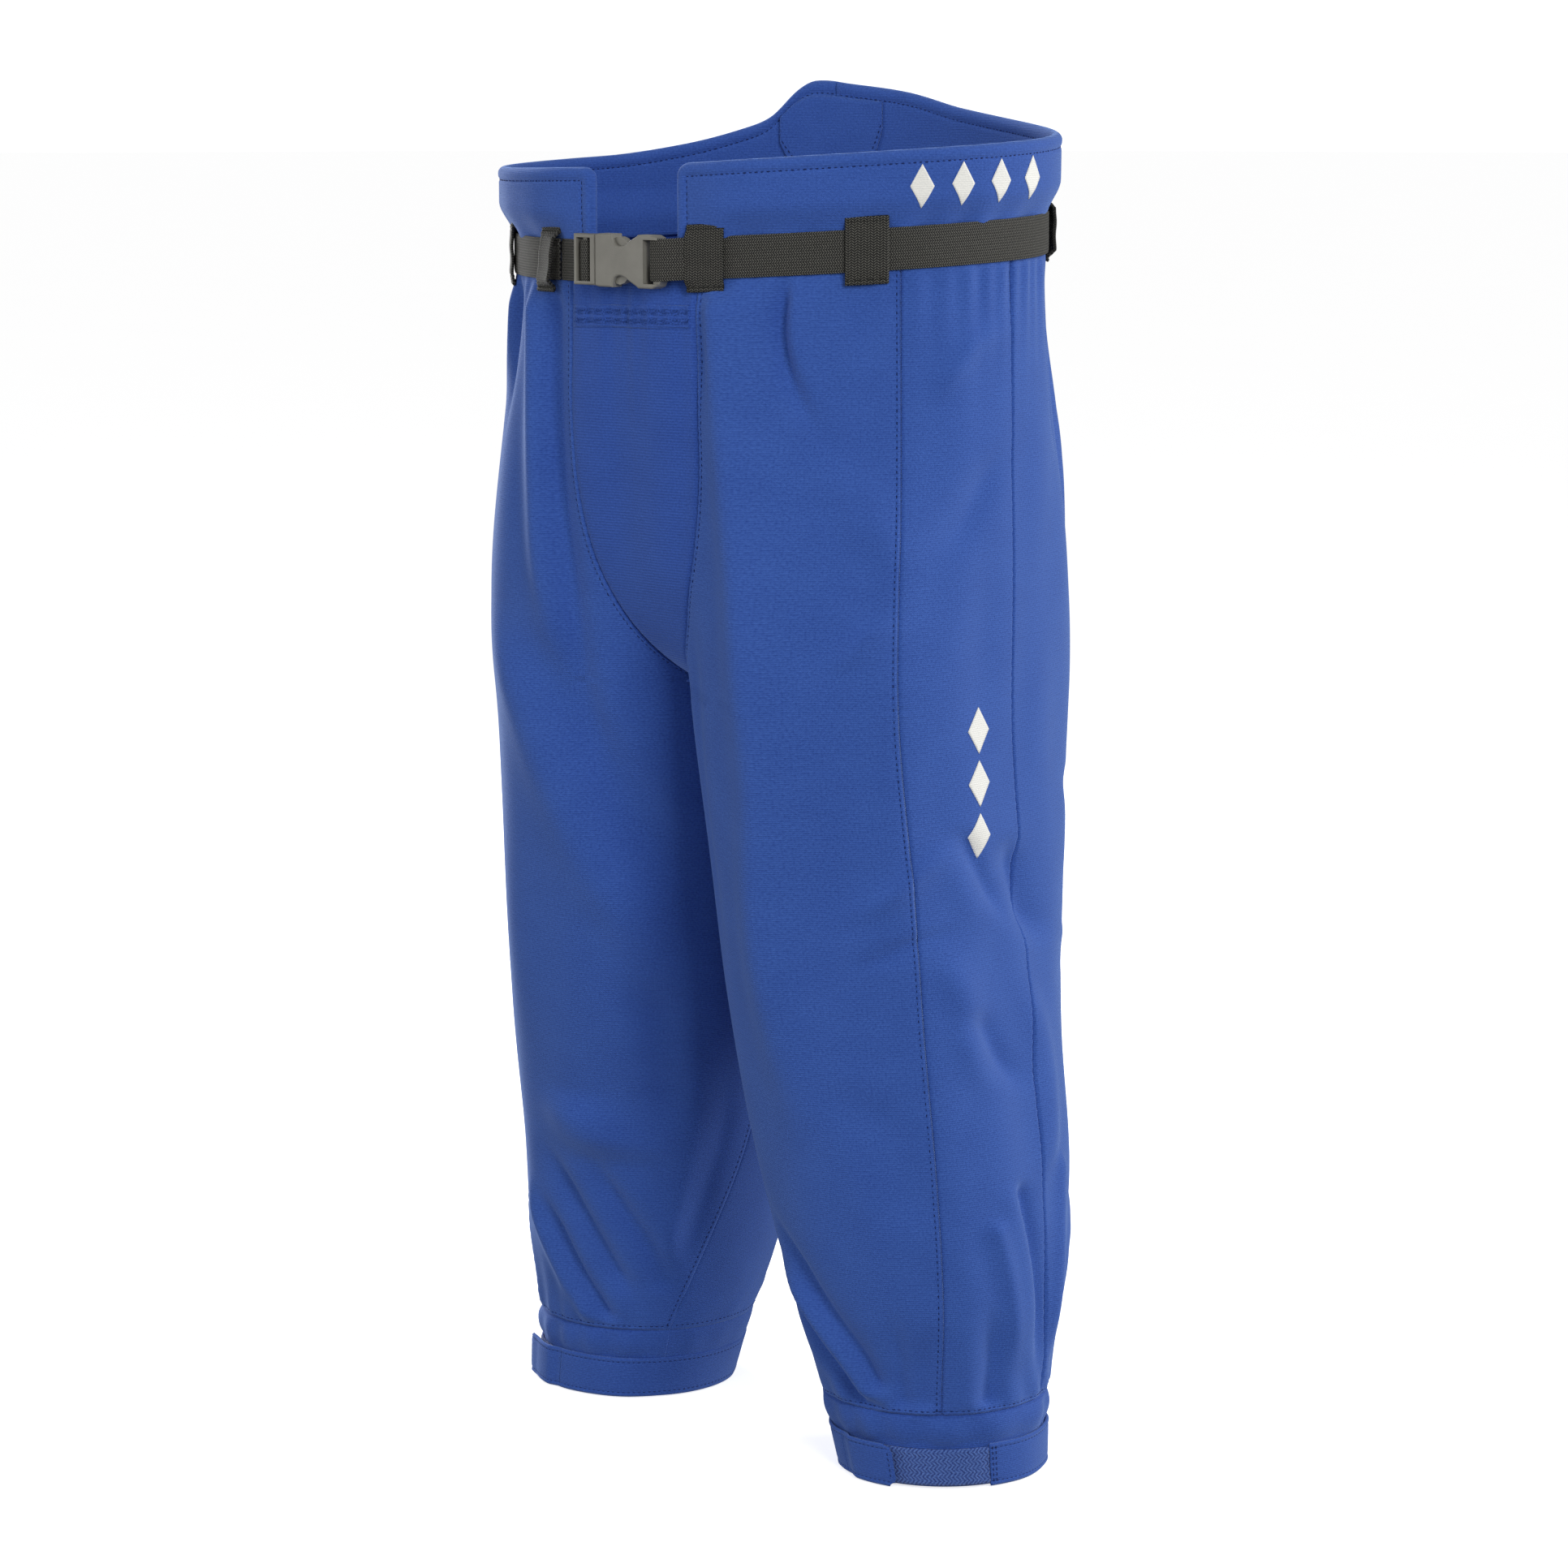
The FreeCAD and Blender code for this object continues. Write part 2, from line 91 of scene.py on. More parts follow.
KNIT = 1.4
BAND_THICKNESS = 7.0
WEBBING_WIDTH = 25
WEBBING = 1.6
CUFF_STRAP_HEIGHT = 27
STRAP_END = {1: 65, -1: 82}
TAB_ROOT = {1: -20, -1: 12}
TAB_TIP = {1: 15, -1: 50}
BAR_FACE = 2.4
BUCKLE_Y = -151.5
SEAM_X = -16.0
BAR_Y = BUCKLE_Y - BAR_FACE - WEBBING
BELT_LOOPS = {"left_front": (17.8, 26.8), "left_side": (52.5, 61), "left_back": (114, 124),
              "back_centre": (175, 185), "right_back": (236, 246), "right_side": (299, 307.5),
              "right_front": (328, 336)}
BELT_RADIUS = 150
CUFF_RADIUS = 66
CUFF_PER_DEGREE = 1.15
ELASTIC_HEIGHTS = (703, 717)
HALF_GUSSET = 49
HALF_BAND = BAND_THICKNESS / 2
WELT = 8.0
STITCH_IN = 3.0

# Mesh rows: distances from an edge, heights up a leg, and places across the webbing.
FINE = np.array((0, 0.7, 1.4, 2.2, 3.0, 3.8, 4.8, 6.5, 9))
ROWS = np.concatenate((HEM + FINE, np.arange(HEM + 12, 475, 3), np.arange(476, 486.5, 0.75),
                       np.arange(489, 744, 3), [WAIST_LEVEL]))
ACROSS = np.array((-1, -0.96, -0.85, -0.5, 0, 0.5, 0.85, 0.96, 1)) * WEBBING_WIDTH / 2


# ---- curves --------------------------------------------------------------
def along(h, rows, column):
    """Smooth curve through the values in column, given at the heights in rows."""
    rows = np.asarray(rows, float)
    column = np.asarray(column, float)
    slope = np.gradient(column, rows)
    slope[1:-1] = (column[2:] - column[:-2]) / (rows[2:] - rows[:-2])
    h = np.clip(h, rows[0], rows[-1])
    i = np.clip(np.searchsorted(rows, h, side="right") - 1, 0, len(rows) - 2)
    step = rows[i + 1] - rows[i]
    t = (h - rows[i]) / step
    ends = column[i] * (1 + 2 * t) * (1 - t) ** 2 + column[i + 1] * t * t * (3 - 2 * t)
    return ends + step * t * (1 - t) * (slope[i] * (1 - t) - slope[i + 1] * t)


def smooth(t):
    """0 below 0, 1 above 1, and an S curve between."""
    t = np.clip(t, 0, 1)
    return t * t * (3 - 2 * t)


def bump(d, width):
    return np.exp(-(d / width) ** 2)


def direction(deg):
    return np.sin(np.radians(deg)), -np.cos(np.radians(deg))


def together(*values):
    """Arrays stretched to one shape and put side by side as coordinates."""
    return np.stack(np.broadcast_arrays(*values), -1)


def unit(vectors):
    return vectors / np.linalg.norm(vectors, axis=-1, keepdims=True)


def travelled(points):
    """Distance along a line at each of its points."""
    gaps = np.linalg.norm(np.diff(points, axis=0), axis=1)
    return np.concatenate(([0], np.cumsum(gaps)))


def to_frame(points):
    """Millimetres with heights from the cuffs to metres in the frame."""
    points = np.array(points, float)
    points[..., 2] -= WAIST_LEVEL
    return points / 1000


# ---- the garment's surface -----------------------------------------------
def belt_height(x, y):
    t = np.arctan2(x, -y)
    return 749 - 7 * np.cos(t) + 6 * np.sin(t)


def belt_at(deg):
    ux, uy = direction(deg)
    return belt_height(ux, uy)


def rim_height(deg):
    return along(np.mod(deg, 360), RIM_ANGLES, RIM_HEIGHTS)


def waist_radius(deg):
    ux, uy = direction(deg)
    depth = np.where(uy < 0, WAIST[1], WAIST[2])
    return 1 / np.hypot(ux / WAIST[0], uy / depth)


def waist_point(deg, h, grow=0.0):
    ux, uy = direction(deg)
    r = waist_radius(deg) + grow
    return together(r * ux, r * uy, h)


def radius_to_waist(cx, cy, ux, uy):
    depth = np.where(uy < 0, WAIST[1], WAIST[2])
    a = (ux / WAIST[0]) ** 2 + (uy / depth) ** 2
    b = 2 * (cx * ux / WAIST[0] ** 2 + cy * uy / depth ** 2)
    c = (cx / WAIST[0]) ** 2 + (cy / depth) ** 2 - 1
    return (-b + np.sqrt(b * b - 4 * a * c)) / (2 * a)


def leg_offset(side, h, deg):
    """Centre of the leg at h, and its surface at deg relative to that."""
    cx = along(h, HEIGHTS, LEG_CENTRE)
    cy = along(h, HEIGHTS, STANCE[side])
    ux, uy = direction(deg)
    a = along(h, HEIGHTS, HALF_WIDTH)
    b = along(h, HEIGHTS, HALF_DEPTH)
    n = 2 + 0.3 * np.minimum(h, CROTCH) / CROTCH
    r = ((np.abs(ux) / a) ** n + (np.abs(uy) / b) ** n) ** (-1 / n)
    top = WAIST_LEVEL - 150 * smooth(-ux)
    r = r + (radius_to_waist(cx, cy, ux, uy) - r) * smooth((h - CROTCH) / (top - CROTCH))
    return cx, cy, r * ux, r * uy


def angle_at_x(side, h, x, back):
    """Angle round the leg at which its surface is x from the middle plane."""
    h = np.asarray(h, float)
    outer = np.full(h.shape, 180.0 if back else 0.0)
    inner = np.full(h.shape, 270.0 if back else -90.0)
    for _ in range(40):
        middle = (outer + inner) / 2
        cx, _, dx, _ = leg_offset(side, h, middle)
        outside = cx + dx > x
        outer = np.where(outside, middle, outer)
        inner = np.where(outside, inner, middle)
    return outer


# ---- folds ---------------------------------------------------------------
def mean_radius(h):
    return (along(h, HEIGHTS, HALF_WIDTH) + along(h, HEIGHTS, HALF_DEPTH)) / 2


class Fold:
    """A crease along a line of (angle, height) points on a leg.

    A ridge or valley is even on both sides.  A pleat steps: the cloth stands
    out on the side of larger angles and dips on the other."""

    def __init__(self, points, depth, width, pleat=0.0, ends=(0.25, 0.25)):
        self.points = sorted(points, key=lambda p: p[1])
        self.depth = depth
        self.width = width
        self.pleat = pleat
        self.ends = ends

    def __call__(self, h, deg):
        degs, heights = zip(*self.points)
        low, high = heights[0], heights[-1]
        line = along(h, heights, degs)
        slope = (along(h + 4, heights, degs) - along(h - 4, heights, degs)) / 8
        per_degree = np.radians(mean_radius(h))
        d = (deg - line) * per_degree / np.hypot(1, slope * per_degree)
        t = (h - low) / (high - low)
        reach = smooth(t / self.ends[0]) * smooth((1 - t) / self.ends[1])
        even = bump(d, self.width)
        step = np.tanh(d / (0.35 * self.width)) * bump(d, 1.8 * self.width)
        return self.depth * reach * (even * (1 - self.pleat) + step * self.pleat)


FOLDS = {
    1: (
        # the front stands forward in a long soft ridge and falls away to the gusset
        Fold(((-10, 752), (-9, 690), (-3, 600), (3, 520), (5, 440), (2, 360), (0, 200)),
             14, 15, 0, (0.25, 0.03)),
        Fold(((-14, 745), (-14, 690), (-13, 640)), -5.4, 6, 0, (0.5, 0.03)),
        Fold(((-24, 560), (-24, 480), (-26, 400), (-28, 300)), -5.4, 13, 0, (0.3, 0.3)),
        # pleats that start under the belt
        Fold(((5, 745), (3, 702), (7, 672), (13, 650), (20, 628)), -8.8, 6, 0.25, (0.6, 0.03)),
        Fold(((11, 745), (11, 700), (18, 660), (26, 630)), 6.1, 9, 0, (0.5, 0.03)),
        Fold(((24, 745), (25, 700), (28, 670)), -3.4, 7, 0.3, (0.6, 0.03)),
        Fold(((20, 640), (30, 600), (38, 560)), 4.7, 15, 0, (0.4, 0.4)),
        # soft folds of the front and side
        Fold(((22, 700), (21, 560), (22, 420), (18, 300)), -6.1, 18, 0, (0.3, 0.3)),
        Fold(((24, 500), (30, 522), (38, 540)), 4.1, 9, 0.4, (0.4, 0.4)),
        Fold(((26, 352), (42, 376), (60, 402)), 4.3, 10, 0.4, (0.4, 0.4)),
        Fold(((28, 322), (40, 338), (56, 350)), -3.5, 8, 0.4, (0.4, 0.4)),
        Fold(((54, 660), (66, 690), (82, 712)), 4.1, 12, 0.3, (0.4, 0.4)),
        Fold(((56, 560), (70, 600), (86, 640)), -4.7, 15, 0.2, (0.4, 0.4)),
        Fold(((62, 410), (76, 372), (92, 338)), -7.4, 11, 0.35, (0.4, 0.3)),
        Fold(((66, 300), (80, 262), (94, 236)), -6.8, 12, 0.3, (0.4, 0.3)),
        Fold(((58, 340), (66, 300), (70, 240)), 4.7, 14, 0, (0.4, 0.3)),
        Fold(((90, 400), (104, 345), (118, 320)), -9.5, 17, 0.2, (0.35, 0.3)),
        Fold(((100, 320), (112, 250), (108, 170)), 4.1, 14, 0, (0.3, 0.3)),
        Fold(((20, 260), (30, 220), (36, 160)), -4.7, 16, 0.2, (0.3, 0.3)),
        Fold(((84, 190), (95, 120), (98, 60)), -7.4, 8, 0.5, (0.4, 0.1)),
        Fold(((68, 170), (76, 120), (80, 60)), 4.7, 9, 0.3, (0.4, 0.1)),
        Fold(((118, 200), (112, 120), (109, 50)), 5.4, 9, 0.4, (0.4, 0.1)),
        # gathers above the cuff
        Fold(((-32, 172), (-24, 150), (-8, 108), (4, 80), (10, 56)), -8.8, 8, 0.35, (0.1, 0.35)),
        Fold(((-42, 120), (-26, 84), (-11, 64), (0, 45)), -8.1, 7, 0.4, (0.1, 0.35)),
        Fold(((-36, 140), (-16, 104), (-2, 74), (6, 50)), 7.4, 8, 0.2, (0.1, 0.35)),
        Fold(((22, 120), (22, 84), (20, 48)), -6.1, 8, 0.3, (0.1, 0.5)),
        Fold(((38, 110), (34, 80), (32, 48)), -4.1, 8, 0.2, (0.1, 0.5)),
        Fold(((62, 120), (66, 84), (64, 48)), -5.4, 9, 0.3, (0.1, 0.5)),
        Fold(((150, 190), (146, 110), (150, 48)), 6.2, 10, 0.4, (0.1, 0.4)),
        Fold(((196, 170), (204, 100), (200, 48)), -6.2, 10, 0.4, (0.1, 0.4)),
        Fold(((250, 190), (244, 110), (246, 48)), 5.4, 10, 0.3, (0.1, 0.4)),
        # back of the leg
        Fold(((150, 750), (152, 690), (150, 600), (156, 520)), 6.8, 11, 0.6, (0.5, 0.03)),
        Fold(((186, 750), (182, 700), (176, 640)), -6.8, 8, 0.4, (0.5, 0.03)),
        Fold(((128, 748), (126, 690), (130, 610)), -5.4, 8, 0.4, (0.5, 0.03)),
        Fold(((170, 560), (186, 500), (206, 450)), -8.8, 16, 0.3, (0.4, 0.3)),
        Fold(((140, 430), (170, 380), (200, 350)), -8.8, 15, 0.3, (0.4, 0.3)),
        Fold(((150, 330), (176, 300), (210, 285)), 7.4, 14, 0.3, (0.4, 0.3)),
        Fold(((210, 440), (222, 330), (226, 220)), 6.8, 16, 0, (0.3, 0.3)),
    ),
    -1: (
        # a ridge down the front with a crease beside the gusset's seam
        Fold(((1, 752), (0, 690), (-3, 600), (-4, 540), (-6, 480)), 9.5, 10, 0, (0.35, 0.03)),
        Fold(((-10, 750), (-10, 676), (-11, 600), (-12, 552), (-14, 476), (-19, 424), (-26, 360)),
             -8.8, 8, 0.15, (0.5, 0.03)),
        Fold(((-17, 690), (-18, 600), (-20, 552)), 2.7, 7, 0, (0.5, 0.3)),
        # the lit outer side turns into the shaded front along a long slanting ridge
        Fold(((17, 530), (14, 515), (-1, 437), (-18, 365), (-28, 325), (-32, 280)),
             10.8, 19, 0.15, (0.3, 0.25)),
        Fold(((2, 520), (-10, 460), (-28, 400), (-44, 340)), -6.8, 16, 0, (0.3, 0.3)),
        Fold(((16, 748), (17, 690), (20, 620)), -6.8, 8, 0.4, (0.6, 0.03)),
        Fold(((26, 748), (27, 690), (32, 640)), 5.4, 9, 0.2, (0.6, 0.03)),
        Fold(((40, 748), (38, 690), (34, 640)), -6.1, 8, 0.4, (0.6, 0.03)),
        # the front sinks towards the crotch
        Fold(((-58, 470), (-60, 380), (-58, 280), (-60, 200)), 5.4, 13, 0, (0.3, 0.3)),
        Fold(((-36, 300), (-40, 240), (-44, 180)), -6.8, 15, 0.2, (0.3, 0.3)),
        # knee, where the cloth sags over the gathered cuff
        Fold(((-2, 214), (-12, 184), (-26, 160)), 10.1, 20, 0, (0.45, 0.45)),
        Fold(((10, 178), (0, 150), (-22, 95), (-34, 66)), -9.5, 8, 0.4, (0.2, 0.35)),
        Fold(((-12, 176), (-20, 148), (-42, 100), (-52, 70)), -8.8, 8, 0.4, (0.1, 0.35)),
        Fold(((16, 140), (8, 122), (-8, 80), (-24, 50)), -8.1, 7, 0.4, (0.1, 0.35)),
        Fold(((24, 150), (16, 116), (2, 78), (-14, 48)), 6.8, 8, 0.2, (0.1, 0.35)),
        Fold(((52, 130), (46, 95), (44, 48)), -6.1, 7, 0.5, (0.1, 0.4)),
        Fold(((-64, 240), (-66, 190), (-60, 128), (-57, 90)), -8.1, 9, 0.4, (0.2, 0.4)),
        Fold(((-50, 260), (-54, 200), (-50, 130), (-48, 80)), 6.8, 9, 0.1, (0.2, 0.4)),
        Fold(((-92, 200), (-84, 130), (-78, 60)), 6.1, 9, 0.3, (0.1, 0.4)),
        Fold(((84, 180), (92, 120), (90, 50)), -6.1, 9, 0.4, (0.1, 0.4)),
        Fold(((130, 190), (134, 110), (130, 48)), 6.2, 10, 0.4, (0.1, 0.4)),
        Fold(((180, 190), (176, 110), (182, 48)), -6.2, 10, 0.4, (0.1, 0.4)),
        Fold(((226, 190), (232, 110), (228, 48)), 5.4, 10, 0.3, (0.1, 0.4)),
        # back and side
        Fold(((70, 420), (86, 376), (100, 350)), -8.8, 14, 0.3, (0.4, 0.3)),
        Fold(((64, 300), (78, 262), (92, 240)), -6.8, 12, 0.3, (0.4, 0.3)),
        Fold(((56, 640), (70, 600), (84, 540)), 5.4, 14, 0.3, (0.4, 0.3)),
        Fold(((148, 750), (150, 690), (148, 600)), 6.8, 11, 0.6, (0.5, 0.03)),
        Fold(((176, 750), (180, 690), (186, 620)), -6.8, 8, 0.4, (0.5, 0.03)),
        Fold(((120, 748), (122, 690), (118, 630)), -5.4, 8, 0.4, (0.5, 0.03)),
        Fold(((168, 560), (186, 500), (208, 455)), -8.8, 16, 0.3, (0.4, 0.3)),
        Fold(((142, 420), (172, 372), (202, 345)), -8.8, 15, 0.3, (0.4, 0.3)),
        Fold(((152, 320), (178, 290), (212, 275)), 7.4, 14, 0.3, (0.4, 0.3)),
    ),
}


def belt_over(side, deg):
    """Height of the belt's middle above a point of a leg."""
    cx, cy, dx, dy = leg_offset(side, float(WAIST_LEVEL), deg)
    return belt_height(side * (cx + dx), cy + dy)


def drape(side, h, deg):
    """How far the cloth stands off the plain surface at a point of a leg."""
    below_belt = np.maximum(belt_over(side, deg) - 12 - h, 0)
    total = sum(fold(h, deg) for fold in FOLDS[side]) * smooth((below_belt + 1) / 22)
    arc = deg * np.radians(mean_radius(h))
    shift = 1.3 * side
    slack = smooth((h - 60) / 120) * smooth((740 - h) / 160)
    total = total + slack * 0.9 * np.sin(arc / 17 + 0.012 * h + shift) * np.sin(h / 71 + arc / 90)
    total = total + slack * 0.6 * np.sin(arc / 8.3 - 0.02 * h + 2 * shift) * np.sin(h / 49 + 1 + arc / 60)
    gather = np.exp(-below_belt / 24) * (1 - np.exp(-below_belt / 5))
    pucker = 1.3 * np.sin(arc / 2.9 + 3 * np.sin(arc / 31)) + 0.8 * np.sin(arc / 5.3 + shift)
    total = total + gather * pucker
    above_hem = np.maximum(h - HEM, 0)
    ruck = np.exp(-above_hem / 17) * (1 - np.exp(-above_hem / 4))
    return total + ruck * (1.5 * np.sin(arc / 3.7 + 2 * np.sin(arc / 23) + shift) + 2.0)


def leg_cloth(side, h, deg, grow=0.0):
    """Points of the draped cloth of a leg."""
    h, deg = np.broadcast_arrays(np.asarray(h, float), np.asarray(deg, float))
    cx, cy, dx, dy = leg_offset(side, h, deg)
    out = drape(side, h, deg) + grow
    length = np.hypot(dx, dy)
    inner = smooth((-dx / length - 0.55) / 0.3) * smooth((CROTCH + 60 - h) / 60)
    out = out * (1 - 0.8 * inner)
    middle = bump(np.maximum(cx + dx, 0), 16) * smooth((h - CROTCH) / 20) * smooth((dy / length + 0.2) / 0.4)
    dx = dx + dx / length * out * (1 - middle)
    dy = dy + dy / length * out
    apart = smooth((CROTCH + 8 - h) / 30)
    wall = 0.3 + 1.3 * apart
    ease = 0.05 + 2.4 * apart
    over = (dx - (wall - cx)) / ease
    dx = np.where(over > 20, dx, wall - cx + ease * np.log1p(np.exp(np.minimum(over, 20))))
    return np.stack((side * (cx + dx), cy + dy, h), -1)


# ---- meshes --------------------------------------------------------------
def grid_normals(points, outward):
    across = np.gradient(points, axis=1)
    up = np.gradient(points, axis=0)
    normal = np.cross(across, up)
    length = np.linalg.norm(normal, axis=-1, keepdims=True)
    return outward * normal / np.maximum(length, 1e-9)


def make_mesh(name, verts, faces, material, uv=None):
    mesh = bpy.data.meshes.new(name)
    mesh.from_pydata(to_frame(verts).tolist(), [], [tuple(int(i) for i in f) for f in faces])
    if uv is not None:
        layer = mesh.uv_layers.new(name="cloth")
        loops = np.zeros(len(mesh.loops), np.int32)
        mesh.loops.foreach_get("vertex_index", loops)
        layer.data.foreach_set("uv", np.asarray(uv, float)[loops].ravel())
    mesh.polygons.foreach_set("use_smooth", [True] * len(mesh.polygons))
    mesh.materials.append(material)
    mesh.update()
    piece = bpy.data.objects.new(name, mesh)
    bpy.context.scene.collection.objects.link(piece)
    return piece


def quads(rows, columns, flip, offset=0):
    r, c = np.meshgrid(np.arange(rows - 1), np.arange(columns - 1), indexing="ij")
    a = (r * columns + c).ravel() + offset
    faces = np.stack((a, a + 1, a + columns + 1, a + columns), -1)
    return faces[:, ::-1] if flip else faces


def cloth(name, points, uv, thick, material, outward=1):
    """Sheet with a real thickness: points is its outer face, rows by columns."""
    rows, columns = points.shape[:2]
    inner = points - thick * grid_normals(points, outward)
    count = rows * columns
    flip = outward < 0
    index = np.arange(count).reshape(rows, columns)
    edge = np.concatenate((index[0, :], index[1:, -1], index[-1, -2::-1], index[-2::-1, 0]))
    rim = np.stack((edge[1:], edge[:-1], edge[:-1] + count, edge[1:] + count), -1)
    faces = np.concatenate((quads(rows, columns, flip), quads(rows, columns, not flip, count),
                            rim[:, ::-1] if flip else rim))
    verts = np.concatenate((points.reshape(-1, 3), inner.reshape(-1, 3)))
    return make_mesh(name, verts, faces, material, np.tile(uv.reshape(-1, 2), (2, 1)))


def dense_ends(length, step, fine=FINE):
    """Fractions along a length, closer together at both ends."""
    middle = np.linspace(fine[-1], length - fine[-1], max(int((length - 2 * fine[-1]) / step), 2))
    return np.concatenate((fine[:-1], middle, length - fine[:-1][::-1])) / length


def stitches(name, paths, material, length=3.0, pitch=4.4, width=0.42):
    """Rows of thread stitches: each path is a pair of points and outward normals."""
    turns = np.arange(6) * math.tau / 6
    stations = ((-0.5, 0.3), (-0.36, 0.9), (0, 1.0), (0.36, 0.9), (0.5, 0.3))
    faces = []
    verts = []
    sides = len(turns)
    pattern = [tuple(range(sides))[::-1], tuple(range(4 * sides, 5 * sides))]
    for ring in range(len(stations) - 1):
        for k in range(sides):
            a = ring * sides + k
            b = ring * sides + (k + 1) % sides
            pattern.append((a, b, b + sides, a + sides))
    for points, normals in paths:
        travel = travelled(points)
        for middle in np.arange(pitch / 2, travel[-1], pitch):
            at = [np.interp((middle - 0.5, middle, middle + 0.5), travel, points[:, i]) for i in range(3)]
            at = np.array(at).T
            tangent = at[2] - at[0]
            tangent /= np.linalg.norm(tangent) + 1e-9
            normal = np.array([np.interp(middle, travel, normals[:, i]) for i in range(3)])
            normal -= tangent * normal.dot(tangent)
            normal /= np.linalg.norm(normal) + 1e-9
            across = np.cross(tangent, normal)
            base = len(verts)
            for t, size in stations:
                sink = -0.35 * (2 * abs(t)) ** 2
                for turn in turns:
                    verts.append(at[1] + tangent * (t * length) + across * (math.cos(turn) * width * size)
                                 + normal * (sink + math.sin(turn) * width * 0.8 * size))
            faces.extend(tuple(base + i for i in f) for f in pattern)
    return make_mesh(name, np.array(verts), faces, material)


# ---- materials -----------------------------------------------------------
class Nodes:
    """Small helper that builds a material's node tree."""

    def __init__(self, name, roughness, sheen=0.0, coordinates="cloth"):
        self.material = bpy.data.materials.new(name)
        self.material.use_nodes = True
        self.tree = self.material.node_tree
        self.shader = self.tree.nodes["Principled BSDF"]
        self.shader.inputs["Roughness"].default_value = roughness
        self.shader.inputs["Sheen Weight"].default_value = sheen
        self.shader.inputs["Specular IOR Level"].default_value = 0.25
        if coordinates == "cloth":
            uv = self.add("ShaderNodeUVMap")
            uv.uv_map = "cloth"
            self.at = uv.outputs["UV"]
        else:
            self.at = self.add("ShaderNodeTexCoord").outputs["Object"]
        split = self.add("ShaderNodeSeparateXYZ", Vector=self.at)
        self.u, self.v, self.w = split.outputs

    def add(self, kind, **inputs):
        made = self.tree.nodes.new(kind)
        for name, value in inputs.items():
            self.plug(made.inputs[name], value)
        return made

    def plug(self, socket, value):
        if isinstance(value, bpy.types.NodeSocket):
            self.tree.links.new(value, socket)
        else:
            socket.default_value = value

    def maths(self, operation, *values):
        made = self.add("ShaderNodeMath")
        made.operation = operation
        for socket, value in zip(made.inputs, values):
            self.plug(socket, value)
        return made.outputs[0]

    def wave(self, source, pitch, phase=0.0):
        turned = self.maths("MULTIPLY_ADD", source, math.tau / pitch, phase)
        return self.maths("SINE", turned)

    def noise(self, size, detail=2.0):
        """Cloud of patches about size across, in the units of the coordinates."""
        made = self.add("ShaderNodeTexNoise", Vector=self.at)
        made.inputs["Scale"].default_value = 1 / size
        made.inputs["Detail"].default_value = detail
        return made.outputs["Fac"]

    def ramp(self, value, low, high, out_low, out_high):
        made = self.add("ShaderNodeMapRange", Value=value)
        limits = {"From Min": low, "From Max": high, "To Min": out_low, "To Max": out_high}
        for name, number in limits.items():
            made.inputs[name].default_value = number
        return made.outputs["Result"]

    def mix(self, share, first, second):
        made = self.add("ShaderNodeMix")
        made.data_type = "RGBA"
        self.plug(made.inputs["Factor"], share)
        colours = [socket for socket in made.inputs if socket.type == "RGBA"]
        for socket, value in zip(colours, (first, second)):
            self.plug(socket, value)
        return [socket for socket in made.outputs if socket.type == "RGBA"][0]

    def paint(self, colour):
        self.plug(self.shader.inputs["Base Color"], colour)

    def relief(self, height, distance, strength=1.0):
        made = self.add("ShaderNodeBump", Height=height)
        made.inputs["Distance"].default_value = distance
        made.inputs["Strength"].default_value = strength
        self.plug(self.shader.inputs["Normal"], made.outputs["Normal"])


def colour(red, green, blue):
    """Linear colour from sRGB values out of 255."""
    values = np.array((red, green, blue)) / 255
    linear = np.where(values <= 0.04045, values / 12.92, ((values + 0.055) / 1.055) ** 2.4)
    return (*linear.tolist(), 1.0)


def knit(name, light, dark, rib, relief):
    """Close knit with fine horizontal ribs, a heather of fibres and soft mottling."""
    made = Nodes(name, 0.82, 0.6)
    made.shader.inputs["Sheen Tint"].default_value = colour(150, 180, 235)
    made.shader.inputs["Sheen Roughness"].default_value = 0.45
    wobble = made.maths("MULTIPLY", made.noise(9.0), 3.0)
    rows = made.wave(made.maths("ADD", made.v, made.maths("MULTIPLY", wobble, 0.15)), rib)
    loops = made.maths("ABSOLUTE", made.wave(made.u, 2 * rib))
    weave = made.maths("MULTIPLY", rows, made.maths("MULTIPLY_ADD", loops, 0.6, 0.4))
    fibre = made.noise(1.3, 3.0)
    mottle = made.noise(26.0, 3.0)
    share = made.maths("MULTIPLY_ADD", weave, 0.13, made.ramp(fibre, 0.3, 0.7, 0.22, 0.78))
    share = made.maths("MULTIPLY_ADD", made.ramp(mottle, 0.3, 0.7, -0.5, 0.5), 0.12, share)
    made.paint(made.mix(share, dark, light))
    height = made.maths("MULTIPLY_ADD", fibre, 0.8, made.maths("MULTIPLY", weave, 0.35))
    made.relief(height, relief)
    return made.material


def woven_tape(name, light, dark, down):
    """Belt webbing: columns of slanting yarns that turn at each column, a herringbone."""
    made = Nodes(name, 0.72)
    length, width = (made.v, made.u) if down else (made.u, made.v)
    zigzag = made.maths("PINGPONG", width, 1.6)
    yarn = made.wave(made.maths("ADD", length, made.maths("MULTIPLY", zigzag, 0.85)), 1.5)
    column = made.maths("ABSOLUTE", made.wave(width, 3.2))
    fibre = made.noise(0.35, 2.0)
    height = made.maths("MULTIPLY", made.maths("MULTIPLY_ADD", yarn, 0.5, 0.5),
                        made.maths("MULTIPLY_ADD", column, 0.6, 0.4))
    share = made.maths("MULTIPLY", made.maths("POWER", height, 1.6), made.ramp(fibre, 0.25, 0.75, 0.45, 1.3))
    made.paint(made.mix(share, dark, light))
    made.relief(height, 0.0004)
    return made.material


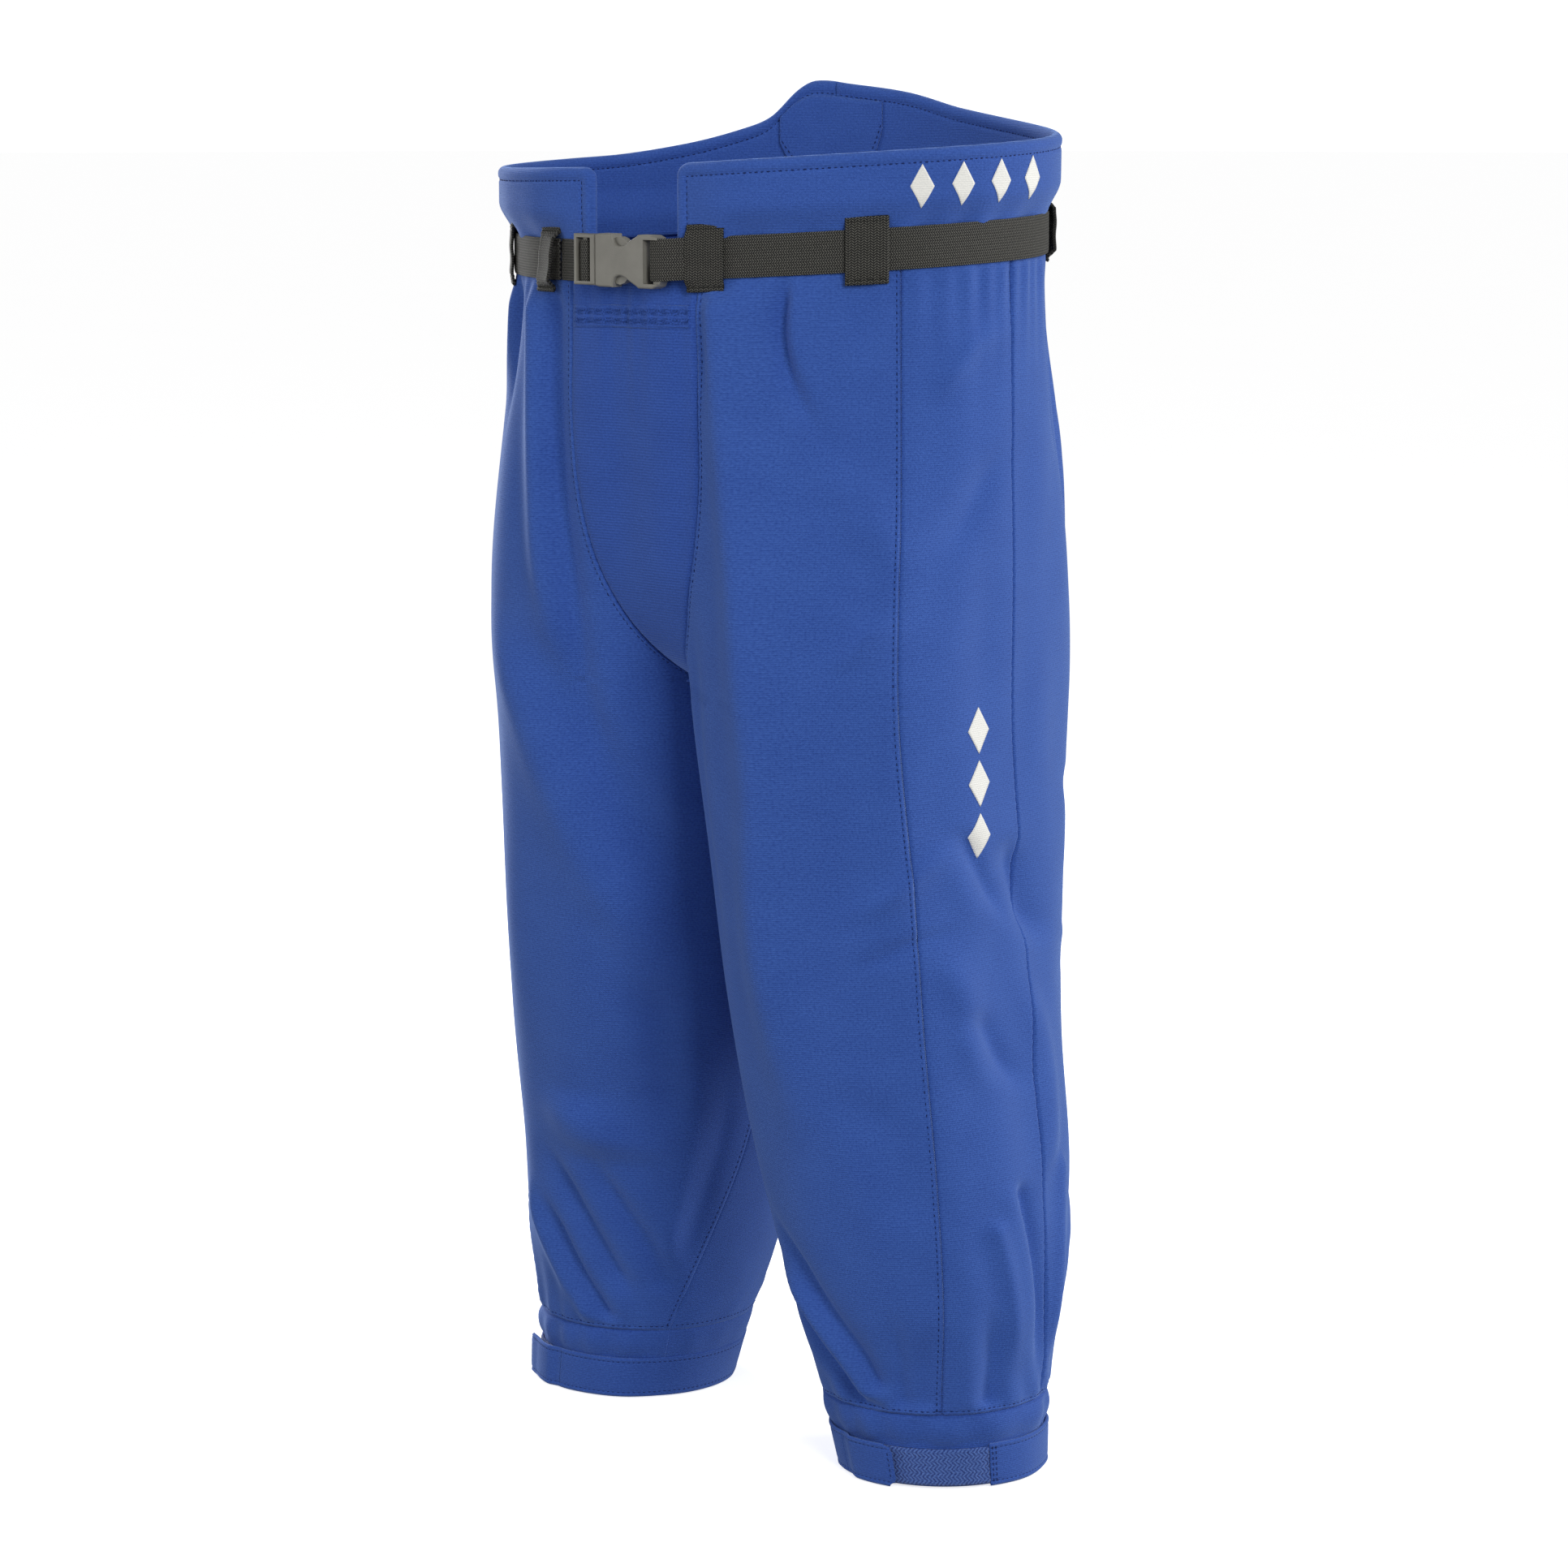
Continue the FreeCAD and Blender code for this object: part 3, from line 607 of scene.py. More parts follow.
def plastic(name, light, dark):
    """Moulded plastic with a fine matt grain."""
    made = Nodes(name, 0.46, coordinates="object")
    made.shader.inputs["Specular IOR Level"].default_value = 0.5
    grain = made.noise(0.0006, 3.0)
    made.paint(made.mix(made.ramp(made.noise(0.02, 3.0), 0.3, 0.7, 0.2, 0.8), dark, light))
    made.relief(grain, 0.00012)
    made.plug(made.shader.inputs["Roughness"], made.ramp(grain, 0.3, 0.7, 0.4, 0.54))
    return made.material


def film(name, light, dark):
    """Printed film that shows the knit through it."""
    made = Nodes(name, 0.5)
    ribs = made.wave(made.v, 1.3)
    grain = made.noise(1.1, 3.0)
    share = made.maths("MULTIPLY_ADD", ribs, 0.2, made.ramp(grain, 0.3, 0.7, 0.2, 0.9))
    made.paint(made.mix(share, dark, light))
    made.relief(made.maths("MULTIPLY_ADD", ribs, 0.3, grain), 0.00012)
    return made.material


def pile(name, light, dark, size, relief):
    """Hook-and-loop tape: tangled loops over slanting rows, or stiff hooks."""
    made = Nodes(name, 0.9, 0.3)
    tangle = made.noise(size, 4.0)
    slant = made.wave(made.maths("ADD", made.u, made.maths("PINGPONG", made.v, 2.5)), 2.6)
    height = made.maths("MULTIPLY_ADD", slant, 0.18, tangle)
    made.paint(made.mix(made.ramp(height, 0.25, 0.8, 0.0, 1.0), dark, light))
    made.relief(height, relief)
    return made.material


def thread(name, light, dark):
    """Twisted sewing thread."""
    made = Nodes(name, 0.7, coordinates="object")
    twist = made.wave(made.maths("ADD", made.w, made.maths("ADD", made.u, made.v)), 0.0006)
    made.paint(made.mix(made.maths("MULTIPLY_ADD", twist, 0.4, 0.5), dark, light))
    made.relief(twist, 0.0001)
    return made.material


LEG_KNIT = knit("leg_knit", colour(67, 106, 190), colour(36, 69, 150), 1.3, 0.00026)
GUSSET_KNIT = knit("gusset_knit", colour(60, 98, 186), colour(32, 65, 146), 1.7, 0.00036)
BAND_KNIT = knit("band_knit", colour(68, 106, 192), colour(38, 72, 152), 1.0, 0.00028)
CUFF_KNIT = knit("cuff_knit", colour(63, 101, 186), colour(35, 68, 148), 1.2, 0.00028)
WEBBING_ALONG = woven_tape("webbing", colour(128, 127, 120), colour(22, 22, 22), False)
WEBBING_ACROSS = woven_tape("loop_webbing", colour(120, 119, 112), colour(20, 20, 20), True)
BUCKLE_PLASTIC = plastic("buckle_plastic", colour(136, 134, 126), colour(112, 110, 103))
PRINT_FILM = film("print_film", colour(250, 249, 243), colour(228, 228, 224))
LOOP_PILE = pile("loop_pile", colour(92, 126, 200), colour(34, 58, 128), 1.1, 0.0006)
HOOK_PILE = pile("hook_pile", colour(40, 44, 60), colour(12, 14, 22), 0.9, 0.0009)
BLUE_THREAD = thread("blue_thread", colour(36, 60, 128), colour(18, 36, 92))
GREY_THREAD = thread("grey_thread", colour(70, 70, 66), colour(26, 26, 25))
ELASTIC_THREAD = thread("elastic_thread", colour(58, 94, 176), colour(40, 72, 150))


# ---- leg panels ----------------------------------------------------------
def seam_line(column):
    return lambda h: along(h, SEAM_HEIGHTS, column)


def gusset_half(h):
    return along(h, GUSSET_HEIGHTS, GUSSET_HALF_WIDTH)


def parting(h):
    """0 below the crotch, where a leg is a closed tube, and 1 above it."""
    return smooth((h - 476) / 10)


def front_edge(side):
    """Angle of a front panel's inner edge: the inseam, then the gusset's seam."""
    def angle(h):
        low = along(h, SEAM_HEIGHTS, INSEAM)
        return low + (angle_at_x(side, h, gusset_half(h), False) - low) * parting(h)
    return angle


def back_edge(side):
    """Angle of a back panel's inner edge: the inseam, then the seat seam."""
    def angle(h):
        low = along(h, SEAM_HEIGHTS, INSEAM) + 360
        return low + (angle_at_x(side, h, 0.3, True) - low) * parting(h)
    return angle


def settle(side, h, deg):
    """Heights stretched so that the top of a panel follows the belt."""
    return h + (belt_over(side, deg) - WAIST_LEVEL) * np.clip((h - 600) / (WAIST_LEVEL - 600), 0, 1)


def seam_relief(d, h, stitched):
    """Cloth at a distance d from a seam: it rolls in, and dips along a topstitch."""
    shape = -1.3 * bump(d, 1.1) + 0.25 * np.sin(math.tau * h / 7) * bump(d, 8)
    if stitched:
        shape = shape + 0.4 * bump(d - 1.9, 1.2) - 0.55 * bump(d - STITCH_IN, 0.8)
    return shape




def panel(side, start, end, stitched):
    """Draped points of a panel between two seams, with their angles and heights."""
    first = start(ROWS)[:, None]
    last = end(ROWS)[:, None]
    reach = np.radians(mean_radius(ROWS))[:, None]
    length = float(np.mean((last - first) * reach))
    deg = first + (last - first) * dense_ends(length, 3.0)[None, :]
    h = settle(side, ROWS[:, None], deg)
    grow = seam_relief((deg - first) * reach, h, stitched)
    grow = grow + seam_relief((last - deg) * reach, h, stitched)
    grow = grow + seam_relief(h - HEM, deg, True)
    uv = together(np.radians(deg) * 100, h)
    cx, cy, dx, dy = leg_offset(side, h, deg)
    plain = together(side * (cx + dx), cy + dy, h)
    return leg_cloth(side, h, deg, grow), uv, plain


def leg_line(side, h, deg, grow=0.0):
    """Points and outward normals along a line on a leg."""
    points = leg_cloth(side, h, deg, grow)
    across = leg_cloth(side, h, deg + 0.4, grow) - leg_cloth(side, h, deg - 0.4, grow)
    up = leg_cloth(side, h + 1, deg, grow) - leg_cloth(side, h - 1, deg, grow)
    return points, unit(side * np.cross(across, up))


def bend_with_leg(piece):
    """Bakes the piece's placement into its mesh; nothing makes it stay with the pelvis or swing with the
    leg.
    """
    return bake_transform(piece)


PANEL_NODES = {"front": ("hip_front_panel", "thigh_bend", "leg_front_panel"),
               "side": ("hip_side_panel", "leg_side_panel"),
               "back": ("hip_back_panel", "leg_back_panel")}
edges = {}
for name, side in LEGS.items():
    side_front = seam_line(SIDE_FRONT_SEAM)
    side_back = seam_line(SIDE_BACK_SEAM)
    limits = {"front": (front_edge(side), side_front, True),
              "side": (side_front, side_back, False),
              "back": (side_back, back_edge(side), False)}
    for part, (start, end, stitched) in limits.items():
        points, uv, plain = panel(side, start, end, stitched)
        piece = cloth(f"{name}_{part}_cloth", points, uv, KNIT, LEG_KNIT, side)
        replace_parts(piece, *(f"{name}_{node}" for node in PANEL_NODES[part]))
        bend_with_leg(piece)
        edges[name, part] = points
    seam = ROWS[(ROWS > HEM + 2) & (ROWS < WAIST_LEVEL - 4)]
    in_from_seam = STITCH_IN / np.radians(mean_radius(seam))
    front_deg = side_front(seam) - in_from_seam
    inner_deg = front_edge(side)(seam) + in_from_seam
    round_deg = np.arange(INSEAM[0], INSEAM[0] + 360, 1.5)
    round_h = np.full(round_deg.shape, HEM + STITCH_IN)
    paths = [leg_line(side, settle(side, seam, deg), deg, -0.3) for deg in (front_deg, inner_deg)]
    paths.append(leg_line(side, round_h, round_deg, -0.3))
    piece = stitches(name + "_leg_stitching", paths, BLUE_THREAD, 2.4, 3.6, 0.38)
    bend_with_leg(piece)


# ---- gussets -------------------------------------------------------------
UPPER = ROWS >= CROTCH
GUSSET_SEAMS = {name: edges[name, "front"][UPPER, 0] for name in LEGS}


def gusset_cloth(level, s, grow=0.0):
    """Points of the front gusset: level counts the panels' rows, s runs from -1 to 1."""
    level, s = np.broadcast_arrays(np.asarray(level, float), np.asarray(s, float))
    steps = np.arange(int(UPPER.sum()))
    ends = {name: np.stack([np.interp(level, steps, edge[:, i]) for i in range(3)], -1)
            for name, edge in GUSSET_SEAMS.items()}
    t = ((1 + s) / 2)[..., None]
    points = ends["right"] * (1 - t) + ends["left"] * t
    half = (ends["left"][..., 0] - ends["right"][..., 0]) / 2
    inside = (1 - np.abs(s)) * half
    x, h = points[..., 0], points[..., 2]
    below = np.maximum(belt_at(0) - 12 - h, 0)
    out = grow + 1.4 * (1 - np.exp(-(inside / 2.2) ** 2))
    out = out + 3.5 * (1 - s * s) * smooth((h - 600) / 90)
    taper = 1 - s ** 4
    gather = 0.6 * np.sin(x / 2.3 + np.sin(x / 9)) + 0.5 * np.sin(x / 4.1 + 1)
    out = out + taper * np.exp(-below / 40) * gather
    out = out + taper * smooth((h - 520) / 60) * 1.4 * np.sin(x / 10 + 0.6 * np.sin(h / 60))
    points[..., 1] -= out
    return points


edge_columns = FINE[:6] / HALF_GUSSET
columns = np.concatenate((-1 + edge_columns, np.linspace(-0.88, 0.88, 57), 1 - edge_columns[::-1]))
levels = np.arange(int(UPPER.sum()))[:, None]
points = gusset_cloth(levels, columns[None, :])
piece = cloth("front_gusset_cloth", points, points[..., (0, 2)], KNIT, GUSSET_KNIT)
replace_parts(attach(piece, "pelvis"), "front_gusset")

elastic_levels = np.interp(ELASTIC_HEIGHTS, GUSSET_SEAMS["left"][:, 2], np.arange(int(UPPER.sum())))
levels = np.linspace(*elastic_levels, 9)[:, None]
columns = np.linspace(-0.93, 0.93, 70)
ribs = np.sin(columns * HALF_GUSSET / 1.2)
relief = 0.35 + 0.3 * ribs[None, :] * np.sin(np.linspace(0, math.pi, 9))[:, None]
points = gusset_cloth(levels, columns[None, :], relief)
piece = cloth("front_elastic_band", points, points[..., (0, 2)], 0.8, GUSSET_KNIT)
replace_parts(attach(piece, "pelvis"), "front_elastic")
paths = []
for share in (0.3, 0.7):
    line = np.linspace(-0.92, 0.92, 90)
    level = elastic_levels[0] + (elastic_levels[1] - elastic_levels[0]) * (
        share + 0.12 * np.where(np.arange(90) % 2, 1, -1))
    points = gusset_cloth(level, line, 0.75)
    paths.append((points, np.tile((0.0, -1.0, 0.0), (90, 1))))
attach(stitches("front_elastic_stitching", paths, ELASTIC_THREAD, 1.7, 2.2, 0.2), "pelvis")

depth = np.linspace(-84, 50, 45)[:, None]
bow = ((depth + 17) / 67) ** 2
across = np.linspace(-1, 1, 13)[None, :]
points = together(across * (12 - 4 * bow), depth, 481.8 + 1.5 * bow - 0.5 * across ** 2)
piece = cloth("crotch_gusset_cloth", points, points[..., (0, 1)], KNIT, GUSSET_KNIT)
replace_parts(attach(piece, "pelvis"), "crotch_gusset")


# ---- waistband -----------------------------------------------------------
def waist_angles(start, end, gaps):
    """Angles round the waist whose distances from start along the cloth are gaps."""
    deg = np.linspace(start, end, 2000)
    travel = travelled(waist_point(deg, 0.0)[:, :2])
    gaps = gaps(travel[-1])
    return np.interp(gaps, travel, deg), gaps


def waist_normals(deg):
    ahead = waist_point(deg + 0.2, 0.0) - waist_point(deg - 0.2, 0.0)
    normals = np.stack((ahead[..., 1], -ahead[..., 0], np.zeros_like(ahead[..., 0])), -1)
    return unit(normals)


def on_waist(deg, h, out):
    """Points that stand out off the waist."""
    return waist_point(deg, h) + waist_normals(deg) * out[..., None]




def band_out(side, deg, dz):
    """How far the waistband's outer face stands off the waist, dz above the belt's middle."""
    flare = 8.2 * smooth((dz - 9) / 22)
    if side < 0:
        flare = flare * 1.18
    arc = waist_radius(deg) * np.radians(deg)
    pinch = np.exp(-np.maximum(dz - 12, 0) / 11)
    gather = 0.9 * np.sin(arc / 5.5 + 2 * np.sin(arc / 40)) + 0.7 * np.sin(arc / 10 + 1)
    drift = 1.2 * np.sin(arc / 46 + side) * np.sin(dz / 30)
    from_wing = np.abs(deg - WING_EDGE[side]) * 2.6
    near = bump(from_wing, 24)
    return (flare + pinch * gather + drift) * (1 - near) + 2.0 * near


def band_half(name, side):
    """One padded half of the waistband, its front end and upper corner rounded."""
    seam = BACK_SEAM if side > 0 else BACK_SEAM - 360
    fine = np.array((0, 0.2, 0.8, 1.7, 2.6, 3.5, 4.6, 5.8, 6.6, 7.3, 8, 8.7, 9.5, 11))
    tail = np.array((5, 3.6, 2.4, 1.4, 0.6, 0))
    deg, s = waist_angles(WING_EDGE[side], seam, lambda total: np.concatenate(
        (fine, np.arange(13.5, total - 6, 2.8), total - tail)))
    to_seam = s[-1] - s
    low = belt_at(deg) - 1.0
    corner = np.clip(WELT - s, 0, WELT)
    rim = rim_height(deg) - (WELT - np.sqrt(WELT ** 2 - corner ** 2))
    half = HALF_BAND * np.sqrt(1 - (1 - np.clip(s / HALF_BAND, 0, 1)) ** 2)
    half = half * (1 - 0.3 * bump(to_seam, 1.6))
    up = np.concatenate((np.linspace(0, 0.62, 16), np.linspace(0.65, 1, 20)))
    turn = np.linspace(0, math.pi, 9)[1:-1]
    z_side = low[None] + (rim - half - low)[None] * up[:, None]
    z_roll = (rim - half)[None] + half[None] * np.sin(turn)[:, None]
    z = np.concatenate((z_side, z_roll, z_side[::-1]))
    share = np.concatenate((np.ones(len(up)), np.cos(turn), -np.ones(len(up))))
    dz = z - belt_at(deg)[None]
    from_top = rim[None] - z
    from_edge = np.minimum(from_top, s[None])
    near_corner = (from_top < WELT) & (s[None] < WELT)
    from_edge = np.where(near_corner, WELT - np.hypot(WELT - from_top, WELT - s[None]), from_edge)
    welt = 0.5 * bump(from_edge - 4.2, 2.6) - 0.9 * bump(from_edge - WELT, 1.0)
    pucker = 0.18 * np.sin(s[None] / 1.1) * bump(from_edge - WELT, 4)
    middle = band_out(side, deg[None], dz) - HALF_BAND
    seam_dip = 0.9 * bump(to_seam, 1.8)[None]
    share = share[:, None]
    thick = (half + (welt + pucker) * (half / HALF_BAND)) * share - seam_dip * (share > 0)
    points = on_waist(deg[None], z, middle + thick)
    rows, count = z.shape
    faces = quads(rows, count, side < 0)
    near = np.arange(count - 1)
    far = near + (rows - 1) * count
    closing = np.stack((near, near + 1, far + 1, far), -1)
    faces = np.concatenate((faces, closing if side < 0 else closing[:, ::-1]))
    uv = together(side * s[None], z)
    piece = make_mesh(f"waistband_{name}", points.reshape(-1, 3), faces, BAND_KNIT, uv.reshape(-1, 2))
    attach(piece, "pelvis")
    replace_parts(piece, *(f"waistband_{name}_{layer}" for layer in ("cover", "foam", "lining")))

    # topstitching, WELT in from the front end and the rim
    height = np.arange(low[0] + 16, rim_height(deg[0]) - WELT, 1.5)
    start = np.interp(WELT, s, deg)
    length = s[-1]
    along_top = np.interp(np.arange(WELT, length - 1, 2), s, deg)
    line_deg = np.concatenate((np.full(height.shape, start), along_top))
    line_h = np.concatenate((height, rim_height(along_top) - WELT))
    out = band_out(side, line_deg, line_h - belt_at(line_deg)) - 0.6
    normals = waist_normals(line_deg)
    path = (on_waist(line_deg, line_h, out), normals)
    inside = (on_waist(line_deg, line_h, out - BAND_THICKNESS + 1.2), -normals)
    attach(stitches(f"waistband_{name}_stitching", [path, inside], BLUE_THREAD, 2.4, 3.6, 0.4), "pelvis")


for name, side in LEGS.items():
    band_half(name, side)

half_facing = 16
deg = BACK_SEAM + np.linspace(-half_facing, half_facing, 60)
lowest = 0.2 + 0.5 * np.abs((deg - BACK_SEAM) / half_facing) ** 3
level = lowest[None] + (0.90 - lowest)[None] * np.linspace(0, 1, 18)[:, None]
h = belt_at(deg)[None] + (rim_height(deg) - belt_at(deg))[None] * level
out = band_out(1, deg[None], h - belt_at(deg)[None]) - BAND_THICKNESS - 0.4
points = on_waist(deg[None], h, out)
piece = cloth("waistband_back_facing_cloth", points, together(deg[None] * 2.4, h),
              1.5, BAND_KNIT)
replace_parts(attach(piece, "pelvis"), "waistband_back_facing")
edge_line = points[3] - waist_normals(deg) * 1.6
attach(stitches("waistband_facing_stitching", [(edge_line, -waist_normals(deg))],
                 BLUE_THREAD, 2.4, 3.6, 0.4),
        "pelvis")


# ---- prints --------------------------------------------------------------
def diamond(half_wide, half_long):
    """Square grid turned into a diamond: sideways and upward distances in mm."""
    a, b = np.meshgrid(np.linspace(-1, 1, 13), np.linspace(-1, 1, 13))
    return (a + b) / 2 * half_wide, (b - a) / 2 * half_long


for index, deg in enumerate((67, 75, 83, 91)):
    across, up = diamond(7, 13)
    turned = deg + np.degrees(across / waist_radius(float(deg)))
    h = belt_at(deg) + (rim_height(deg) - belt_at(deg)) * 0.62 + up
    out = band_out(1, turned, h - belt_at(turned)) + 0.35
    points = on_waist(turned, h, out)
    piece = cloth(f"waistband_diamond_{index}", points, np.stack((across, up), -1), 0.4, PRINT_FILM)
    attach(piece, "pelvis")
    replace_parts(piece, "waistband_print")

for index, middle in enumerate((400, 432, 464)):
    across, up = diamond(11, 14)
    deg = 76 + np.degrees(across / float(mean_radius(middle)))
    points = leg_cloth(1, middle + up, deg, 0.4)
    piece = cloth(f"left_leg_diamond_{index}", points, np.stack((across, up), -1), 0.5, PRINT_FILM)
    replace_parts(piece, "left_leg_print")
    bend_with_leg(piece)


# ---- belt ----------------------------------------------------------------


def lift(deg):
    """The belt leaves the waist at the front to reach the buckle."""
    ux, uy = direction(deg)
    return np.where(uy > 0, 0, 4 * smooth((56 - np.abs(waist_radius(deg) * ux)) / 20))


def selvedge(width):
    """Webbing is a little thinner at its woven edges."""
    return -0.35 * smooth((np.abs(width) - 11) / 1.5)


def belt_path(start, end):
    """Middle line of the belt's outer face round the waist."""
    deg, _ = waist_angles(start, end, lambda total: np.arange(0, total, 2.5))
    arc = waist_radius(deg) * np.radians(deg)
    out = 2.1 + lift(deg) + 0.35 * np.sin(arc / 21)
    return on_waist(deg, belt_at(deg), out)


def strap(name, path, body):
    """Webbing that follows a path of points, its width upright."""
    ahead = np.gradient(path, axis=0)
    outward = unit(np.stack((ahead[:, 1], -ahead[:, 0], np.zeros(len(path))), -1))
    travel = travelled(path)
    points = path[None] + outward[None] * selvedge(ACROSS)[:, None, None]
    points[..., 2] += ACROSS[:, None]
    uv = together(travel[None], ACROSS[:, None])
    piece = cloth(name, points, uv, WEBBING, WEBBING_ALONG)
    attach(piece, body)
    return piece


def through(points, step=0.6):
    """Close points along a rounded line through a few (x, y) points, at the belt's height."""
    points = np.array(points, float)
    for _ in range(3):
        early = 0.75 * points[:-1] + 0.25 * points[1:]
        late = 0.25 * points[:-1] + 0.75 * points[1:]
        points = np.concatenate((points[:1], np.stack((early, late), 1).reshape(-1, 2), points[-1:]))
    travel = travelled(points)
    at = np.arange(0, travel[-1], step)
    x, y = (np.interp(at, travel, points[:, i]) for i in range(2))
    return np.stack((x, y, belt_height(x, y)), -1)


left_round = belt_path(20, 179.9)
left_front = through(((SEAM_X + 42, BUCKLE_Y + 4), (SEAM_X + 42, BAR_Y + 1.5), (SEAM_X + 43, BAR_Y),
                      (SEAM_X + 50, BAR_Y), (SEAM_X + 54, BAR_Y + 1.2), (44, -149.4),
                      tuple(left_round[0, :2])))
piece = strap("belt_left", np.concatenate((left_front[:-1], left_round)), "pelvis")
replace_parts(piece, "belt_webbing_left")
piece = strap("belt_right", belt_path(180.1, 336.9), "pelvis")
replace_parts(piece, "belt_webbing_right")
piece = strap("belt_front", belt_path(337.1, 346.6), "pelvis")
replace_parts(piece, "belt_webbing_front")
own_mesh(piece)
wrap = through(((SEAM_X - 19, BUCKLE_Y + 2.4), (SEAM_X - 15, BUCKLE_Y + 2.4), (SEAM_X - 13.2, BAR_Y + 1.2),
                (SEAM_X - 12, BAR_Y), (SEAM_X - 8, BAR_Y), (SEAM_X - 6.8, BAR_Y + 1.2),
                (SEAM_X - 5, BUCKLE_Y + 3)))
strap("belt_over_bar", wrap, "insert")


def belt_loop(name, start, end):
    """Webbing loop over the belt, its ends folded under and sewn down."""
    deg = np.linspace(start, end, 14)
    length = np.concatenate((-20 + FINE[:6] * 0.8, np.linspace(-15.4, 15.4, 27), 20 - FINE[:6][::-1] * 0.8))
    away = np.abs(length)[:, None]
    t = (deg - start)[None] / (end - start)
    raised = 1 - smooth((away - 12.6) / 5.0)
    out = WEBBING + 1.0 + (2.0 + lift(deg)[None]) * raised
    out = out + 1.3 * smooth((away - 14.6) / 1.2) - 0.5 * bump(away - 17.2, 0.6)
    out = out - 0.8 * smooth((away - 19) / 1)
    tilt = 0.0
    if name == "right_front":
        out = out + raised * 4.5 * t ** 1.5
        tilt = 4.0
    if name == "left_back":
        out = out + raised * 3.5 * (1 - t) ** 1.5
    out = out + 0.25 * np.sin(length / 2.6)[:, None] * raised
    h = belt_at(deg)[None] + length[:, None]
    shifted = deg[None] + np.degrees(tilt * length[:, None] / 20 / BELT_RADIUS)
    points = on_waist(shifted, h, out)
    width = np.radians(deg - start) * BELT_RADIUS
    uv = together(width[None], length[:, None])
    piece = cloth(f"loop_{name}", points, uv, WEBBING, WEBBING_ACROSS)
    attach(piece, "pelvis")
    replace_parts(piece, f"belt_loop_{name}")
    normals = waist_normals(shifted)
    rows = [int(np.argmin(np.abs(length - at))) for at in (-17.2, 17.2)]
    paths = [(points[row] + normals[row] * 0.25, normals[row]) for row in rows]
    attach(stitches(f"loop_{name}_stitching", paths, GREY_THREAD, 2.0, 2.5, 0.4), "pelvis")


for name, (start, end) in BELT_LOOPS.items():
    belt_loop(name, start, end)


# ---- cuffs ---------------------------------------------------------------
def ring(side, start, end, low, high, out, rows, step=2.4):
    """Points of a strip round a cuff, out off the leg; its end may depend on the height."""
    h = low + (high - low) * np.asarray(rows)[:, None]
    last = end(h) if callable(end) else end
    count = max(int(np.radians(np.max(last) - start) * CUFF_RADIUS / step), 4)
    deg = start + (last - start) * dense_ends(count * step, step, FINE[:6])[None, :]
    h, deg = np.broadcast_arrays(h, deg)
    grow = out(h, deg)
    uv = np.stack((np.radians(deg) * CUFF_RADIUS, h), -1)
    return leg_cloth(side, h, deg, grow), uv


def tube_rows(length, step=1.6):
    return dense_ends(length, step, FINE[:6])


def edge_rows(h, low, high):
    """Rolled edges and topstitch dips 3 mm from both long edges of a strap."""
    near = np.minimum(h - low, high - h)
    return -0.9 * bump(near, 0.8) + 0.3 * bump(near - 1.7, 1.1) - 0.5 * bump(near - STITCH_IN, 0.7)


def row_stitches(side, start, end, levels, out):
    deg = np.arange(start, end, 1.5)
    return [leg_line(side, np.full(deg.shape, float(h)), deg, out(np.full(deg.shape, float(h)), deg))
            for h in levels]


